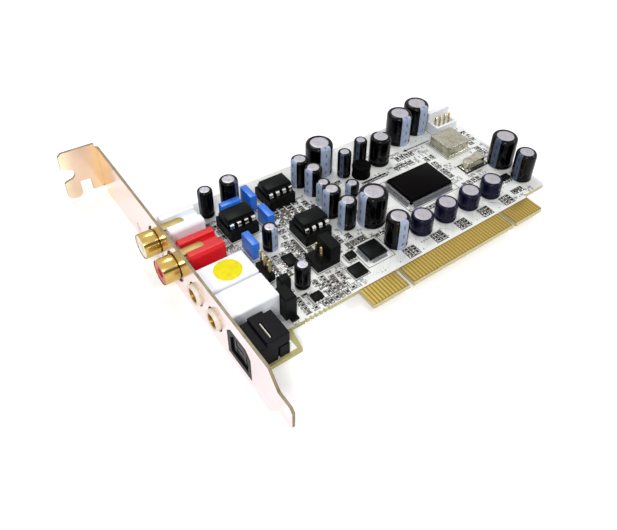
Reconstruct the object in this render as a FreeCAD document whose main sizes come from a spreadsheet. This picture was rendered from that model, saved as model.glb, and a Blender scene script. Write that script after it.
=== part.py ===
import FreeCAD, Part
import math
import os
import re

import Sketcher

# Sound card for a 32-bit expansion slot, lying component side up.
# Card coordinates: X runs from the rear bracket's outer face into the computer,
# Y from the lower edge of the contacts to the card's top edge,
# Z up from the component side of the board. Every sub-part is then moved by one
# datum, so that the finished card stands on Z = 0 with its box centred on Z.

# Driving sizes in millimetres
SIZES = {
    # circuit board
    "board_thickness": 1.57,
    "board_left": 3.0,
    "board_right": 132.6,
    "board_top": 71.5,
    "board_bottom": 7.8,
    "far_bottom": 9.2,
    "lobe_right": 16.2,
    "lobe_slope": 1.2,
    "board_corner": 1.0,
    "tab_left": 41.9,
    "tab_corner": 0.8,
    "tab_bevel": 0.45,
    "notch_width": 1.9,
    "notch_top": 7.9,
    "edge_notch_width": 0.8,
    "edge_notch_depth": 0.45,
    "edge_notch_pitch": 1.6,
    "edge_notch_start": 22.6,
    "edge_notch_count": 6,
    # gold contacts of the tab
    "contact_pitch": 1.27,
    "contact_width": 0.84,
    "contact_margin": 0.5,
    "contact_start": 0.7,
    "contact_top": 7.4,
    "contact_plate": 0.05,
    "contacts_first": 11,
    "contacts_middle": 36,
    "contacts_last": 11,
    # rear bracket, one folded sheet
    "bracket_thickness": 0.86,
    "bracket_width": 18.42,
    "bracket_drop": 3.92,
    "bracket_top": 100.36,
    "bracket_length": 120.02,
    "tongue_width": 8.4,
    "tongue_length": 6.3,
    "tongue_corner": 1.2,
    "taper_length": 4.4,
    "flange_depth": 12.3,
    "flange_corner": 1.2,
    "flange_overhang": 1.65,
    "overhang_end": 0.45,
    "bend_radius": 1.3,
    "bend_relief": 2.2,
    "bend_relief_depth": 2.1,
    "slot_width": 4.3,
    "slot_reach": 1.7,
    "slot_flare": 0.75,
    "slot_height": 10.95,
    "finger_width": 4.8,
    "finger_lift": 1.0,
    "relief_width": 3.6,
    "relief_height": 7.0,
    "board_tab_start": 63.6,
    "board_tab_width": 7.2,
    "board_tab_depth": 9.0,
    "tab_relief": 0.6,
    # screw through the board into the bracket's tab
    "screw_radius": 1.45,
    "screw_clearance": 0.1,
    "screw_head_radius": 2.8,
    "screw_head_height": 1.7,
    "screw_end": 1.2,
    "screw_x": 5.6,
    # phono sockets
    "phono_upper_y": 56.0,
    "phono_lower_y": 43.0,
    "phono_axis": 5.6,
    "phono_radius": 4.1,
    "phono_wall": 0.55,
    "phono_reach": 4.8,
    "neck_radius": 3.9,
    "neck_gap": 0.2,
    "phono_hole_gap": 1.0,
    "phono_setback": 3.0,
    "phono_depth": 11.3,
    "phono_width": 10.0,
    "phono_height": 11.0,
    "phono_round": 1.2,
    "channel_width": 3.8,
    "channel_clearance": 0.45,
    "strip_width": 3.0,
    "strip_thickness": 0.4,
    "strip_reach": 6.4,
    "strip_foot": 0.8,
    "insert_setback": 0.5,
    "pin_hole_radius": 1.62,
    "pin_hole_depth": 6.5,
    # small jacks
    "jack_upper_y": 29.8,
    "jack_lower_y": 18.7,
    "jack_axis": 5.5,
    "jack_width": 10.4,
    "jack_height": 9.2,
    "jack_depth": 16.6,
    "jack_round": 0.6,
    "jack_bore_radius": 1.85,
    "jack_bore_depth": 14.5,
    "bushing_radius": 3.4,
    "bushing_reach": 1.3,
    "bushing_hole_gap": 0.5,
    "label_radius": 4.2,
    "label_thickness": 0.1,
    "label_x": 10.3,
    # optical socket
    "optical_y": 5.9,
    "optical_width": 12.0,
    "optical_height": 9.8,
    "optical_drop": 1.1,
    "optical_corner": 2.2,
    "optical_hole_gap": 0.15,
    "optical_face_depth": 2.2,
    "optical_depth": 12.65,
    "optical_body_y": 6.1,
    "optical_body_width": 10.6,
    "optical_body_height": 9.0,
    "optical_step": 2.3,
    "optical_step_inset": 1.0,
    "optical_ledge": 2.7,
    "optical_ledge_drop": 1.3,
    "clip_start": 8.9,
    "clip_height": 4.6,
    "clip_slot": 0.6,
    "clip_depth": 0.9,
    "optical_groove_x": 7.35,
    "optical_groove_width": 0.7,
    "optical_groove_length": 6.0,
    "optical_groove_depth": 1.2,
    "port_width": 8.8,
    "port_height": 7.4,
    "port_corner": 1.8,
    "port_depth": 1.3,
    "port_axis": 4.5,
    "port_plug_gap": 0.2,
    "port_plug_setback": 0.4,
    # electrolytic capacitors, by can size
    "slim_radius": 2.5,
    "slim_height": 11.0,
    "stub_radius": 2.5,
    "stub_height": 9.3,
    "tiny_radius": 2.5,
    "tiny_height": 5.4,
    "small_radius": 3.15,
    "small_height": 11.5,
    "medium_radius": 4.0,
    "medium_height": 12.0,
    "large_radius": 5.0,
    "large_height": 13.0,
    "flat_radius": 4.0,
    "flat_height": 7.0,
    "can_sides": 24,
    "flat_row_start": 75.9,
    "flat_row_pitch": 11.4,
    "flat_row_count": 4,
    "edge_row_y": 17.4,
    # film capacitors
    "film_length": 7.2,
    "film_width": 2.5,
    "film_height": 6.6,
    # eight-pin amplifiers in sockets
    "socket_side": 10.16,
    "socket_height": 4.2,
    "socket_window": 4.6,
    "socket_rail": 1.2,
    "row_spacing": 7.62,
    "lead_pitch": 2.54,
    "amplifier_length": 9.8,
    "amplifier_width": 6.35,
    "amplifier_height": 3.3,
    "amplifier_lift": 0.4,
    "amplifier_draft": 0.35,
    "lead_width": 1.3,
    "lead_thickness": 0.28,
    # surface chips
    "controller_length": 20.0,
    "controller_width": 14.0,
    "controller_height": 2.7,
    "controller_bevel": 0.5,
    "controller_lift": 0.3,
    "controller_reach": 1.6,
    "converter_length": 7.0,
    "converter_width": 7.0,
    "converter_height": 1.5,
    "converter_bevel": 0.3,
    "converter_lift": 0.1,
    "converter_reach": 1.0,
    "fine_lead_thickness": 0.16,
    "fringe_margin": 0.5,
    # clock parts and choke
    "oscillator_length": 12.2,
    "oscillator_width": 11.8,
    "oscillator_height": 4.4,
    "oscillator_rim": 0.45,
    "oscillator_rim_height": 0.6,
    "oscillator_round": 0.8,
    "crystal_length": 11.05,
    "crystal_width": 4.65,
    "crystal_height": 3.5,
    "crystal_rim": 0.4,
    "crystal_rim_height": 0.45,
    "choke_radius": 3.5,
    "choke_height": 5.0,
    # headers
    "power_header_length": 11.3,
    "power_header_width": 6.6,
    "power_header_height": 8.0,
    "power_header_low": 4.2,
    "power_header_wall": 1.0,
    "power_header_floor": 1.8,
    "power_header_pins": 4,
    "power_pin_top": 7.0,
    "backed_header_length": 7.4,
    "backed_header_width": 8.6,
    "backed_header_height": 8.0,
    "backed_header_base": 2.5,
    "backed_header_back": 3.9,
    "backed_header_pins": 2,
    "backed_pin_inset": 2.7,
    "tall_header_y": 13.65,
    "tall_header_length": 6.1,
    "tall_header_width": 3.8,
    "tall_header_height": 8.6,
    "short_header_length": 3.0,
    "short_header_width": 3.4,
    "short_header_height": 7.5,
    "header_chamfer": 0.4,
    "header_clearance": 0.1,
    "post_width": 0.64,
    "plain_header_width": 2.54,
    "plain_header_height": 2.5,
    "plain_header_pins": 3,
    "plain_pin_top": 8.3,
    # leads cut off below the board
    "lead_end_width": 0.6,
    "lead_end_length": 1.3,
}

# Upright capacitors: name, can size and place of the axis
CAPACITORS = (
    ("capacitor_01", "slim", 20.8, 64.0),
    ("capacitor_02", "small", 29.5, 64.1),
    ("capacitor_03", "stub", 29.7, 38.7),
    ("capacitor_04", "small", 55.4, 60.6),
    ("capacitor_05", "large", 65.6, 63.2),
    ("capacitor_06", "small", 56.7, 54.0),
    ("capacitor_07", "slim", 71.7, 55.9),
    ("capacitor_08", "slim", 81.1, 58.6),
    ("capacitor_09", "medium", 87.9, 55.2),
    ("capacitor_10", "stub", 56.5, 47.7),
    ("capacitor_11", "small", 55.2, 41.0),
    ("capacitor_12", "tiny", 67.6, 45.5),
    ("capacitor_13", "small", 56.2, 33.3),
    ("capacitor_14", "large", 64.8, 30.6),
    ("capacitor_15", "large", 103.3, 62.4),
    ("capacitor_16", "large", 113.8, 64.3),
    ("capacitor_17", "large", 127.5, 28.3),
    ("capacitor_18", "medium", 127.8, 17.4),
    ("capacitor_20", "stub", 29.1, 19.4),
)

# Centres of the other parts on the board
FILM_CAPACITORS = (("film_1", 26.8, 58.9, 0), ("film_2", 34.5, 60.3, 90),
                   ("film_3", 34.4, 48.8, 90), ("film_4", 23.5, 40.1, 90))
AMPLIFIERS = (("1", 25.7, 52.3), ("2", 43.8, 58.4), ("3", 44.1, 37.2))
SINGLE_PLACES = {
    "last_medium": (64.6, 17.4),
    "controller": (90.9, 35.2),
    "converter": (55.6, 18.6),
    "oscillator": (118.0, 47.5),
    "crystal": (117.4, 33.2),
    "choke": (77.1, 52.4),
    "plain_header": (22.4, 29.7),
    "backed_header": (39.9, 24.3),
    "short_header": (22.6, 19.6),
    "power_header": (123.9, 58.4),
}

# Small plastic packages: x, y, length along X, width along Y, height
SMALL_CHIPS = (
    (46.4, 14.4, 5.0, 5.0, 0.9),
    (31.3, 29.9, 3.9, 4.9, 1.4),
    (29.7, 12.6, 3.4, 3.0, 1.5),
    (48.2, 20.4, 3.2, 2.6, 1.6),
    (121.2, 20.0, 4.4, 2.6, 1.5),
    (73.5, 44.6, 3.0, 1.6, 1.0),
)

# Rows of chip resistors and chip capacitors:
# x and y of the first, count, step along X and Y, and 1 where they lie along X
CHIP_ROWS = (
    (65.0, 9.7, 3, 0.0, 1.35, 1), (67.6, 9.7, 3, 0.0, 1.35, 1),
    (77.4, 9.7, 3, 0.0, 1.35, 1), (80.0, 9.7, 3, 0.0, 1.35, 1),
    (88.8, 9.7, 3, 0.0, 1.35, 1), (91.4, 9.7, 3, 0.0, 1.35, 1),
    (100.2, 9.7, 3, 0.0, 1.35, 1), (102.8, 9.7, 3, 0.0, 1.35, 1),
    (111.6, 9.7, 3, 0.0, 1.35, 1), (114.2, 9.7, 3, 0.0, 1.35, 1),
    (118.6, 12.6, 3, 1.9, 0.0, 0), (30.6, 9.2, 5, 2.0, 0.0, 0),
    (34.0, 12.4, 4, 1.9, 0.0, 0), (34.0, 15.6, 3, 2.0, 0.0, 1),
    (46.4, 24.6, 2, 0.0, 2.2, 1), (51.0, 25.2, 4, 2.0, 0.0, 0),
    (49.6, 28.2, 2, 0.0, 2.0, 1), (34.6, 33.4, 3, 0.0, 2.0, 1),
    (34.6, 26.4, 3, 0.0, 2.0, 1), (39.2, 46.2, 5, 2.1, 0.0, 0),
    (38.6, 49.8, 4, 2.3, 0.0, 1), (52.0, 45.2, 2, 0.0, 2.2, 1),
    (75.6, 47.6, 5, 2.2, 0.0, 1), (91.2, 48.2, 4, 2.2, 0.0, 1),
    (95.0, 52.2, 4, 2.3, 0.0, 0), (105.4, 40.2, 2, 0.0, 2.1, 1),
    (105.4, 33.0, 3, 0.0, 2.1, 1), (106.4, 26.2, 4, 2.3, 0.0, 0),
    (127.6, 44.0, 3, 0.0, 2.3, 1), (127.2, 36.2, 3, 0.0, 2.1, 1),
    (17.8, 56.6, 2, 0.0, 2.4, 1), (69.8, 23.2, 2, 2.2, 0.0, 0),
    (84.0, 24.0, 4, 2.4, 0.0, 1),
)
CHIP_PART = {"chip_length": 1.6, "chip_width": 0.8, "chip_height": 0.55}


def fill_sheet(document):
    """Write every driving size and place into the spreadsheet, under its own name."""
    table = document.addObject("Spreadsheet::Sheet", "Sizes")
    entries = dict(SIZES)
    entries.update(CHIP_PART)
    for name, _, across, along in CAPACITORS:
        entries[name + "_x"] = across
        entries[name + "_y"] = along
    for name, across, along, _ in FILM_CAPACITORS:
        entries[name + "_x"] = across
        entries[name + "_y"] = along
    for number, across, along in AMPLIFIERS:
        entries["amplifier_" + number + "_x"] = across
        entries["amplifier_" + number + "_y"] = along
    for name, (across, along) in SINGLE_PLACES.items():
        entries[name + "_x"] = across
        entries[name + "_y"] = along
    for row, (alias, number) in enumerate(entries.items(), start=1):
        table.set("A%d" % row, alias)
        table.set("B%d" % row, str(number))
        table.setAlias("B%d" % row, alias)
    document.recompute()
    return table, entries


doc = FreeCAD.newDocument("SoundCard")
sheet, ENTRIES = fill_sheet(doc)
ALIAS = re.compile(r"\b(" + "|".join(ENTRIES) + r")\b")

# The finished card stands on the bracket's lower edge, centred on its own box
DATUM = ("(flange_depth - board_right) / 2", "bracket_length / 2 - bracket_top", "bracket_drop")
# Lowest and highest edge of the bracket, and the middle of its width
BRACKET_MIDDLE = "(bracket_width / 2 - bracket_drop)"
BRACKET_HIGH = "(bracket_width - bracket_drop)"
parts = []


def cells(rule):
    """Give a rule written with size names as an expression on the sheet."""
    return ALIAS.sub(r"Sizes.\1", rule)


def bind(item, target, rule):
    item.setExpression(target, cells(rule))


def value(rule):
    """Work out a rule written with size names."""
    return float(sheet.evalExpression(cells(rule)))


def place(item, label, across="0", along="0", up="0"):
    """Name a finished sub-part and stand its own origin at a point of the card."""
    item.Label = label
    for axis, datum, rule in zip("xyz", DATUM, (across, along, up)):
        bind(item, "Placement.Base." + axis, datum + " + " + rule)
    parts.append(item)
    return item


def place_group(label, solids, across="0", along="0", up="0"):
    """Make one sub-part of separate like solids, given in card coordinates."""
    item = doc.addObject("Part::Feature", label)
    item.Shape = Part.Compound(solids)
    return place(item, label, across, along, up)


def new_body(name):
    return doc.addObject("PartDesign::Body", name)


def origin_feature(body, role):
    return next(feature for feature in body.Origin.OriginFeatures if feature.Role == role)


def new_sketch(body, name, plane, lift="0"):
    """Attach a sketch to one of the body's own planes, lifted along its normal."""
    sketch = body.newObject("Sketcher::SketchObject", name)
    sketch.AttachmentSupport = [(origin_feature(body, plane), "")]
    sketch.MapMode = "FlatFace"
    bind(sketch, "AttachmentOffset.Base.z", lift)
    return sketch


def hold(sketch, kind, element, point, rule, number, name):
    """Hold one coordinate of a sketch point, or a radius, at a rule's value."""
    if kind == "Radius":
        constraint = Sketcher.Constraint(kind, element, number)
    else:
        constraint = Sketcher.Constraint(kind, -1, 1, element, point, number)
    row = sketch.addConstraint(constraint)
    sketch.renameConstraint(row, name)
    bind(sketch, "Constraints." + name, rule)


def outline(body, name, plane, corners, lift="0"):
    """Closed outline of straight edges, each corner held by two rules."""
    sketch = new_sketch(body, name, plane, lift)
    points = [FreeCAD.Vector(value(across), value(along), 0) for across, along in corners]
    count = len(points)
    for index, start in enumerate(points):
        sketch.addGeometry(Part.LineSegment(start, points[(index + 1) % count]), False)
    for index in range(count):
        sketch.addConstraint(Sketcher.Constraint("Coincident", index, 2, (index + 1) % count, 1))
    for index, (across, along) in enumerate(corners):
        hold(sketch, "DistanceX", index, 1, across, points[index].x, "across_%d" % index)
        hold(sketch, "DistanceY", index, 1, along, points[index].y, "along_%d" % index)
    return sketch


def circles(body, name, plane, rings, lift="0"):
    """Circles, each held by the rules for its centre and radius."""
    sketch = new_sketch(body, name, plane, lift)
    normal = FreeCAD.Vector(0, 0, 1)
    for index, (across, along, radius) in enumerate(rings):
        centre = FreeCAD.Vector(value(across), value(along), 0)
        sketch.addGeometry(Part.Circle(centre, normal, value(radius)), False)
        hold(sketch, "DistanceX", index, 3, across, centre.x, "across_%d" % index)
        hold(sketch, "DistanceY", index, 3, along, centre.y, "along_%d" % index)
        hold(sketch, "Radius", index, 0, radius, value(radius), "radius_%d" % index)
    return sketch


def pad(body, sketch, length, reverse=False):
    feature = body.newObject("PartDesign::Pad", sketch.Name + "_pad")
    feature.Profile = sketch
    bind(feature, "Length", length)
    feature.Reversed = reverse
    return feature


def pocket(body, sketch, length, reverse=False):
    """Cut an outline out of the body, and make sure that it took something away."""
    doc.recompute()
    before = body.Tip.Shape.Volume
    feature = body.newObject("PartDesign::Pocket", sketch.Name + "_cut")
    feature.Profile = sketch
    bind(feature, "Length", length)
    feature.Reversed = reverse
    doc.recompute()
    if feature.Shape.Volume >= before:
        raise ValueError(sketch.Name + " cuts nothing")
    return feature


def revolve(body, sketch, axis="V_Axis"):
    feature = body.newObject("PartDesign::Revolution", sketch.Name + "_turned")
    feature.Profile = sketch
    feature.ReferenceAxis = (sketch, [axis])
    feature.Angle = 360.0
    return feature


def dress(body, kind, wanted, size):
    """Fillet or chamfer the body's edges for which the test wanted holds."""
    doc.recompute()
    base = body.Tip
    names = ["Edge%d" % (index + 1) for index, edge in enumerate(base.Shape.Edges) if wanted(edge)]
    if not names:
        raise ValueError(body.Name + " has no edge to dress")
    feature = body.newObject("PartDesign::" + kind, body.Name + "_" + kind)
    feature.Base = (base, names)
    bind(feature, "Radius" if kind == "Fillet" else "Size", size)
    return feature


def runs_along(edge, axis):
    """Tell whether a straight edge runs along one axis."""
    if edge.Curve.TypeId != "Part::GeomLine":
        return False
    return abs(abs(getattr(edge.Curve.Direction, axis)) - 1) < 1e-6


def lies_at(edge, **place_of):
    """Tell whether the middle of an edge lies at the given coordinates."""
    middle = edge.BoundBox.Center
    return all(abs(getattr(middle, axis) - number) < 1e-4 for axis, number in place_of.items())


def box(length, width, height, centre_x, centre_y, low):
    """Upright block given by its size, the centre of its plan and its lowest face."""
    corner = FreeCAD.Vector(centre_x - length / 2, centre_y - width / 2, low)
    return Part.makeBox(length, width, height, corner)


def block(name, length, width, height, across="0", along="0", up="0"):
    """Block bound to the sheet, centred on its place in plan."""
    item = doc.addObject("Part::Box", name)
    bind(item, "Length", length)
    bind(item, "Width", width)
    bind(item, "Height", height)
    bind(item, "Placement.Base.x", "(%s) - (%s) / 2" % (across, length))
    bind(item, "Placement.Base.y", "(%s) - (%s) / 2" % (along, width))
    bind(item, "Placement.Base.z", up)
    return item


def cut(name, base, tool):
    item = doc.addObject("Part::Cut", name)
    item.Base = base
    item.Tool = tool
    return item


# Circuit board
def tab_right():
    """Right end of the contact tab, behind the last contact."""
    count = "(contacts_first + contacts_middle + contacts_last + 3)"
    return "(tab_left + 2 * contact_margin + %s * contact_pitch)" % count


def notch_middle(contacts_before):
    """Middle of a keying notch, which takes the room of two contacts."""
    return "(tab_left + contact_margin + (%s + 0.5) * contact_pitch)" % contacts_before


def make_board():
    """Board with its contact tab, two keying notches and the lobe beside the bracket."""
    body = new_body("circuit_board")
    right = tab_right()
    corners = [("board_left", "0"), ("lobe_right", "0"), ("lobe_right + lobe_slope", "board_bottom")]
    for index in range(int(value("edge_notch_count"))):
        middle = "edge_notch_start + %d * edge_notch_pitch" % index
        crest = "board_bottom + edge_notch_depth"
        corners += [(middle + " - edge_notch_width / 2", "board_bottom"),
                    (middle + " - edge_notch_width / 4", crest),
                    (middle + " + edge_notch_width / 4", crest),
                    (middle + " + edge_notch_width / 2", "board_bottom")]
    corners += [("tab_left", "board_bottom"), ("tab_left", "tab_corner"),
                ("tab_left + tab_corner", "0")]
    for middle in (notch_middle("contacts_first"),
                   notch_middle("(contacts_first + contacts_middle + 2)")):
        low, high = middle + " - notch_width / 2", middle + " + notch_width / 2"
        corners += [(low, "0"), (low, "notch_top"), (high, "notch_top"), (high, "0")]
    corners += [(right + " - tab_corner", "0"), (right, "tab_corner"), (right, "far_bottom"),
                ("board_right - board_corner", "far_bottom"),
                ("board_right", "far_bottom + board_corner"),
                ("board_right", "board_top - board_corner"),
                ("board_right - board_corner", "board_top"), ("board_left", "board_top")]
    pad(body, outline(body, "board_outline", "XY_Plane", corners), "board_thickness", True)
    tab_edges = lambda edge: (runs_along(edge, "x") and abs(edge.BoundBox.YMax) < 1e-6
                              and edge.BoundBox.XMin > value("tab_left") - 1e-6)
    dress(body, "Chamfer", tab_edges, "tab_bevel")
    screw = [("screw_x", "board_tab_start + board_tab_width / 2", "screw_radius + screw_clearance")]
    pocket(body, circles(body, "screw_hole", "XY_Plane", screw), "board_thickness")
    place(body, "circuit_board")


def make_contacts():
    """Gold contacts on both faces of the tab, with room left for the two notches."""
    first, middle, last = (int(value(name)) for name in
                           ("contacts_first", "contacts_middle", "contacts_last"))
    slots = list(range(first))
    slots += [first + 2 + index for index in range(middle)]
    slots += [first + middle + 4 + index for index in range(last)]
    start = value("tab_left + contact_margin")
    length = value("contact_top - contact_start")
    plate = value("contact_plate")
    solids = []
    for slot in slots:
        across = start + slot * value("contact_pitch")
        for low in (0.0, -value("board_thickness") - plate):
            solids.append(box(value("contact_width"), length, plate, across,
                              value("contact_start") + length / 2, low))
    place_group("edge_contacts", solids)


# Rear bracket
def bracket_outline():
    """Flat plate seen from the front: tongue, tapers and the gap beside the board tab."""
    low, high, middle = "-bracket_drop", BRACKET_HIGH, BRACKET_MIDDLE
    end = "bracket_top - bracket_length"
    taper = end + " + tongue_length"
    shoulder = taper + " + taper_length"
    gap_start = "board_tab_start - tab_relief"
    gap_end = "board_tab_start + board_tab_width + tab_relief"
    tab_start, tab_end = "board_tab_start", "board_tab_start + board_tab_width"
    relief = "2 * bracket_thickness"
    near, far = middle + " - tongue_width / 2", middle + " + tongue_width / 2"
    tip = end + " + tongue_corner"
    return [(end, near + " + tongue_corner"), (tip, near), (taper, near), (shoulder, low),
            (gap_start, low), (gap_start, relief), (tab_start, relief), (tab_start, "0"),
            (tab_end, "0"), (tab_end, relief), (gap_end, relief), (gap_end, low),
            ("bracket_top - bend_relief", low),
            ("bracket_top - bend_relief", low + " + bend_relief_depth"),
            ("bracket_top", low + " + bend_relief_depth"), ("bracket_top", high),
            (shoulder, high), (taper, far), (tip, far), (end, far + " - tongue_corner")]


def flange_outline():
    """Screw flange seen from beyond the card's top edge, with its finger and relief."""
    outer, low, high = "-flange_depth", "-bracket_drop", BRACKET_HIGH
    slot, inner = "(slot_height - bracket_drop)", "(finger_width - flange_depth)"
    half, wide = "slot_width / 2", BRACKET_HIGH + " + flange_overhang"
    root = inner + " + relief_width"
    return [("bracket_thickness", low + " + bend_relief_depth"), ("bracket_thickness", high),
            ("-overhang_end", high), ("-overhang_end", wide),
            (outer + " + flange_corner", wide), (outer, wide + " - flange_corner"),
            (outer, slot + " + " + half + " + slot_flare"),
            (outer + " + slot_reach", slot + " + " + half),
            (outer + " + slot_reach", slot + " - " + half),
            (outer, slot + " - " + half + " - slot_flare"),
            (outer, low + " + finger_lift"), (inner, low + " + finger_lift"),
            (inner, low + " + relief_height"), (root, low + " + relief_height"),
            (root, low + " + bend_relief_depth")]


def make_bracket():
    """Plate with its openings, the slotted flange folded out and the tab folded in."""
    body = new_body("bracket")
    plate = "bracket_thickness"
    pad(body, outline(body, "plate_outline", "YZ_Plane", bracket_outline()), plate)
    flange = outline(body, "flange_outline", "XZ_Plane", flange_outline(), "-bracket_top")
    pad(body, flange, plate)
    start, width = "board_tab_start", "board_tab_width"
    corner = "screw_head_radius / 2"
    ears = [("0", start), ("board_tab_depth - " + corner, start),
            ("board_tab_depth", start + " + " + corner),
            ("board_tab_depth", start + " + " + width + " - " + corner),
            ("board_tab_depth - " + corner, start + " + " + width), ("0", start + " + " + width)]
    pad(body, outline(body, "board_tab", "XY_Plane", ears), plate)
    slot_end = [("slot_reach - flange_depth", "slot_height - bracket_drop", "slot_width / 2")]
    pocket(body, circles(body, "slot_end", "XZ_Plane", slot_end, "-bracket_top"), plate, True)
    rings = [(name, "phono_axis", "phono_radius + phono_hole_gap")
             for name in ("phono_upper_y", "phono_lower_y")]
    rings += [(name, "jack_axis", "bushing_radius + bushing_hole_gap")
              for name in ("jack_upper_y", "jack_lower_y")]
    pocket(body, circles(body, "socket_holes", "YZ_Plane", rings), plate, True)
    pocket(body, outline(body, "optical_hole", "YZ_Plane", optical_face("optical_hole_gap")),
           plate, True)
    screw = [("screw_x", start + " + " + width + " / 2", "screw_radius + screw_clearance")]
    pocket(body, circles(body, "tab_hole", "XY_Plane", screw), plate, True)
    top = value("bracket_top")
    bend = lambda edge: runs_along(edge, "z") and lies_at(edge, x=value(plate), y=top)
    dress(body, "Fillet", bend, "bend_radius")
    dress(body, "Fillet", lambda edge: runs_along(edge, "y") and lies_at(edge, x=0, z=0), plate)
    finger = value("finger_lift - bracket_drop")
    tip = lambda edge: runs_along(edge, "y") and abs(edge.BoundBox.ZMax - finger) < 1e-4
    dress(body, "Fillet", tip, "finger_width / 2 - bend_relief / 4")
    place(body, "bracket")


def optical_face(gap):
    """Front outline of the optical socket, its two upper corners cut, with a gap around."""
    half = "(optical_width / 2 + %s)" % gap
    low, high = "-optical_drop - " + gap, "optical_height + " + gap
    left, right = "optical_y - " + half, "optical_y + " + half
    return [(left, low), (right, low), (right, high + " - optical_corner"),
            (right + " - optical_corner", high), (left + " + optical_corner", high),
            (left, high + " - optical_corner")]


def make_screw():
    """Pan-head screw from below the board, into the bracket's tab."""
    body = new_body("bracket_screw")
    under = "-board_thickness"
    profile = [("0", under + " - screw_head_height"),
               ("screw_head_radius", under + " - screw_head_height"),
               ("screw_head_radius", under), ("screw_radius", under),
               ("screw_radius", "bracket_thickness + screw_end"),
               ("0", "bracket_thickness + screw_end")]
    revolve(body, outline(body, "screw_profile", "XZ_Plane", profile))
    place(body, "bracket_screw", "screw_x", "board_tab_start + board_tab_width / 2")


# Phono sockets
def make_phono(side, along):
    """Moulded housing, metal shell with its ground strip, and insulating insert."""
    body = new_body("phono_housing_" + side)
    half, channel = "phono_width / 2", "channel_width / 2"
    floor = "phono_axis + phono_radius - phono_wall + channel_clearance"
    corners = [("-" + half, "0"), (half, "0"), (half, "phono_height"), (channel, "phono_height"),
               (channel, floor), ("-" + channel, floor), ("-" + channel, "phono_height"),
               ("-" + half, "phono_height")]
    sketch = outline(body, "phono_block_" + side, "YZ_Plane", corners, "phono_setback")
    pad(body, sketch, "phono_depth")
    crest = value("phono_height")
    shoulder = lambda edge: (runs_along(edge, "x") and abs(edge.BoundBox.ZMax - crest) < 1e-4
                             and abs(abs(edge.BoundBox.YMax) - value(half)) < 1e-4)
    dress(body, "Fillet", shoulder, "phono_round")
    bore = [("0", "phono_axis", "phono_radius - phono_wall")]
    pocket(body, circles(body, "insert_seat_" + side, "YZ_Plane", bore, "phono_setback"),
           "pin_hole_depth - phono_setback", True)
    place(body, "phono_housing_" + side, "0", along)

    shell = new_body("phono_shell_" + side)
    inner, seat = "(phono_radius - phono_wall)", "phono_setback"
    profile = [("-phono_reach", inner), (seat, inner), (seat, "neck_radius"),
               ("-neck_gap", "neck_radius"), ("-neck_gap", "phono_radius"),
               ("-phono_reach", "phono_radius")]
    revolve(shell, outline(shell, "shell_profile_" + side, "XY_Plane", profile), "H_Axis")
    low = "phono_radius - phono_wall + channel_clearance"
    start, end, crest = seat + " - strip_foot", seat + " + strip_reach", low + " + strip_thickness"
    arm = [(start, "phono_radius - phono_wall / 2"), (seat, "phono_radius - phono_wall / 2"),
           (seat, low), (end, low), (end, crest), (start, crest)]
    strip = outline(shell, "ground_strip_" + side, "XZ_Plane", arm, "-strip_width / 2")
    pad(shell, strip, "strip_width")
    tip = value("phono_setback + strip_reach")
    ends = lambda edge: runs_along(edge, "z") and abs(edge.BoundBox.XMax - tip) < 1e-4
    dress(shell, "Fillet", ends, "strip_width * 0.45")
    place(shell, "phono_shell_" + side, "0", along, "phono_axis")

    insert = new_body("phono_insert_" + side)
    front = "insert_setback - phono_reach"
    profile = [(front, "pin_hole_radius"), ("pin_hole_depth", "pin_hole_radius"),
               ("pin_hole_depth", inner), (front, inner)]
    revolve(insert, outline(insert, "insert_profile_" + side, "XY_Plane", profile), "H_Axis")
    place(insert, "phono_insert_" + side, "0", along, "phono_axis")


# Small jacks
def make_jack(side, along):
    """Closed moulded jack behind the bracket and its plated bushing through it."""
    body = new_body("jack_housing_" + side)
    half, back = "jack_width / 2", "bracket_thickness"
    corners = [("-" + half, "0"), (half, "0"), (half, "jack_height"), ("-" + half, "jack_height")]
    pad(body, outline(body, "jack_block_" + side, "YZ_Plane", corners, back), "jack_depth")
    crest = value("jack_height")
    ridge = lambda edge: runs_along(edge, "x") and abs(edge.BoundBox.ZMax - crest) < 1e-4
    dress(body, "Fillet", ridge, "jack_round")
    bore = [("0", "jack_axis", "jack_bore_radius")]
    pocket(body, circles(body, "jack_bore_" + side, "YZ_Plane", bore, back), "jack_bore_depth", True)
    place(body, "jack_housing_" + side, "0", along)

    bushing = new_body("jack_bushing_" + side)
    profile = [("-bushing_reach", "jack_bore_radius"), (back, "jack_bore_radius"),
               (back, "bushing_radius"), ("-bushing_reach", "bushing_radius")]
    revolve(bushing, outline(bushing, "bushing_profile_" + side, "XY_Plane", profile), "H_Axis")
    place(bushing, "jack_bushing_" + side, "0", along, "jack_axis")


def make_label():
    """Round paper label on the upper jack."""
    item = prism("round_disc", "label_radius", "label_thickness")
    place(item, "round_label", "label_x", "jack_upper_y", "jack_height")


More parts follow.
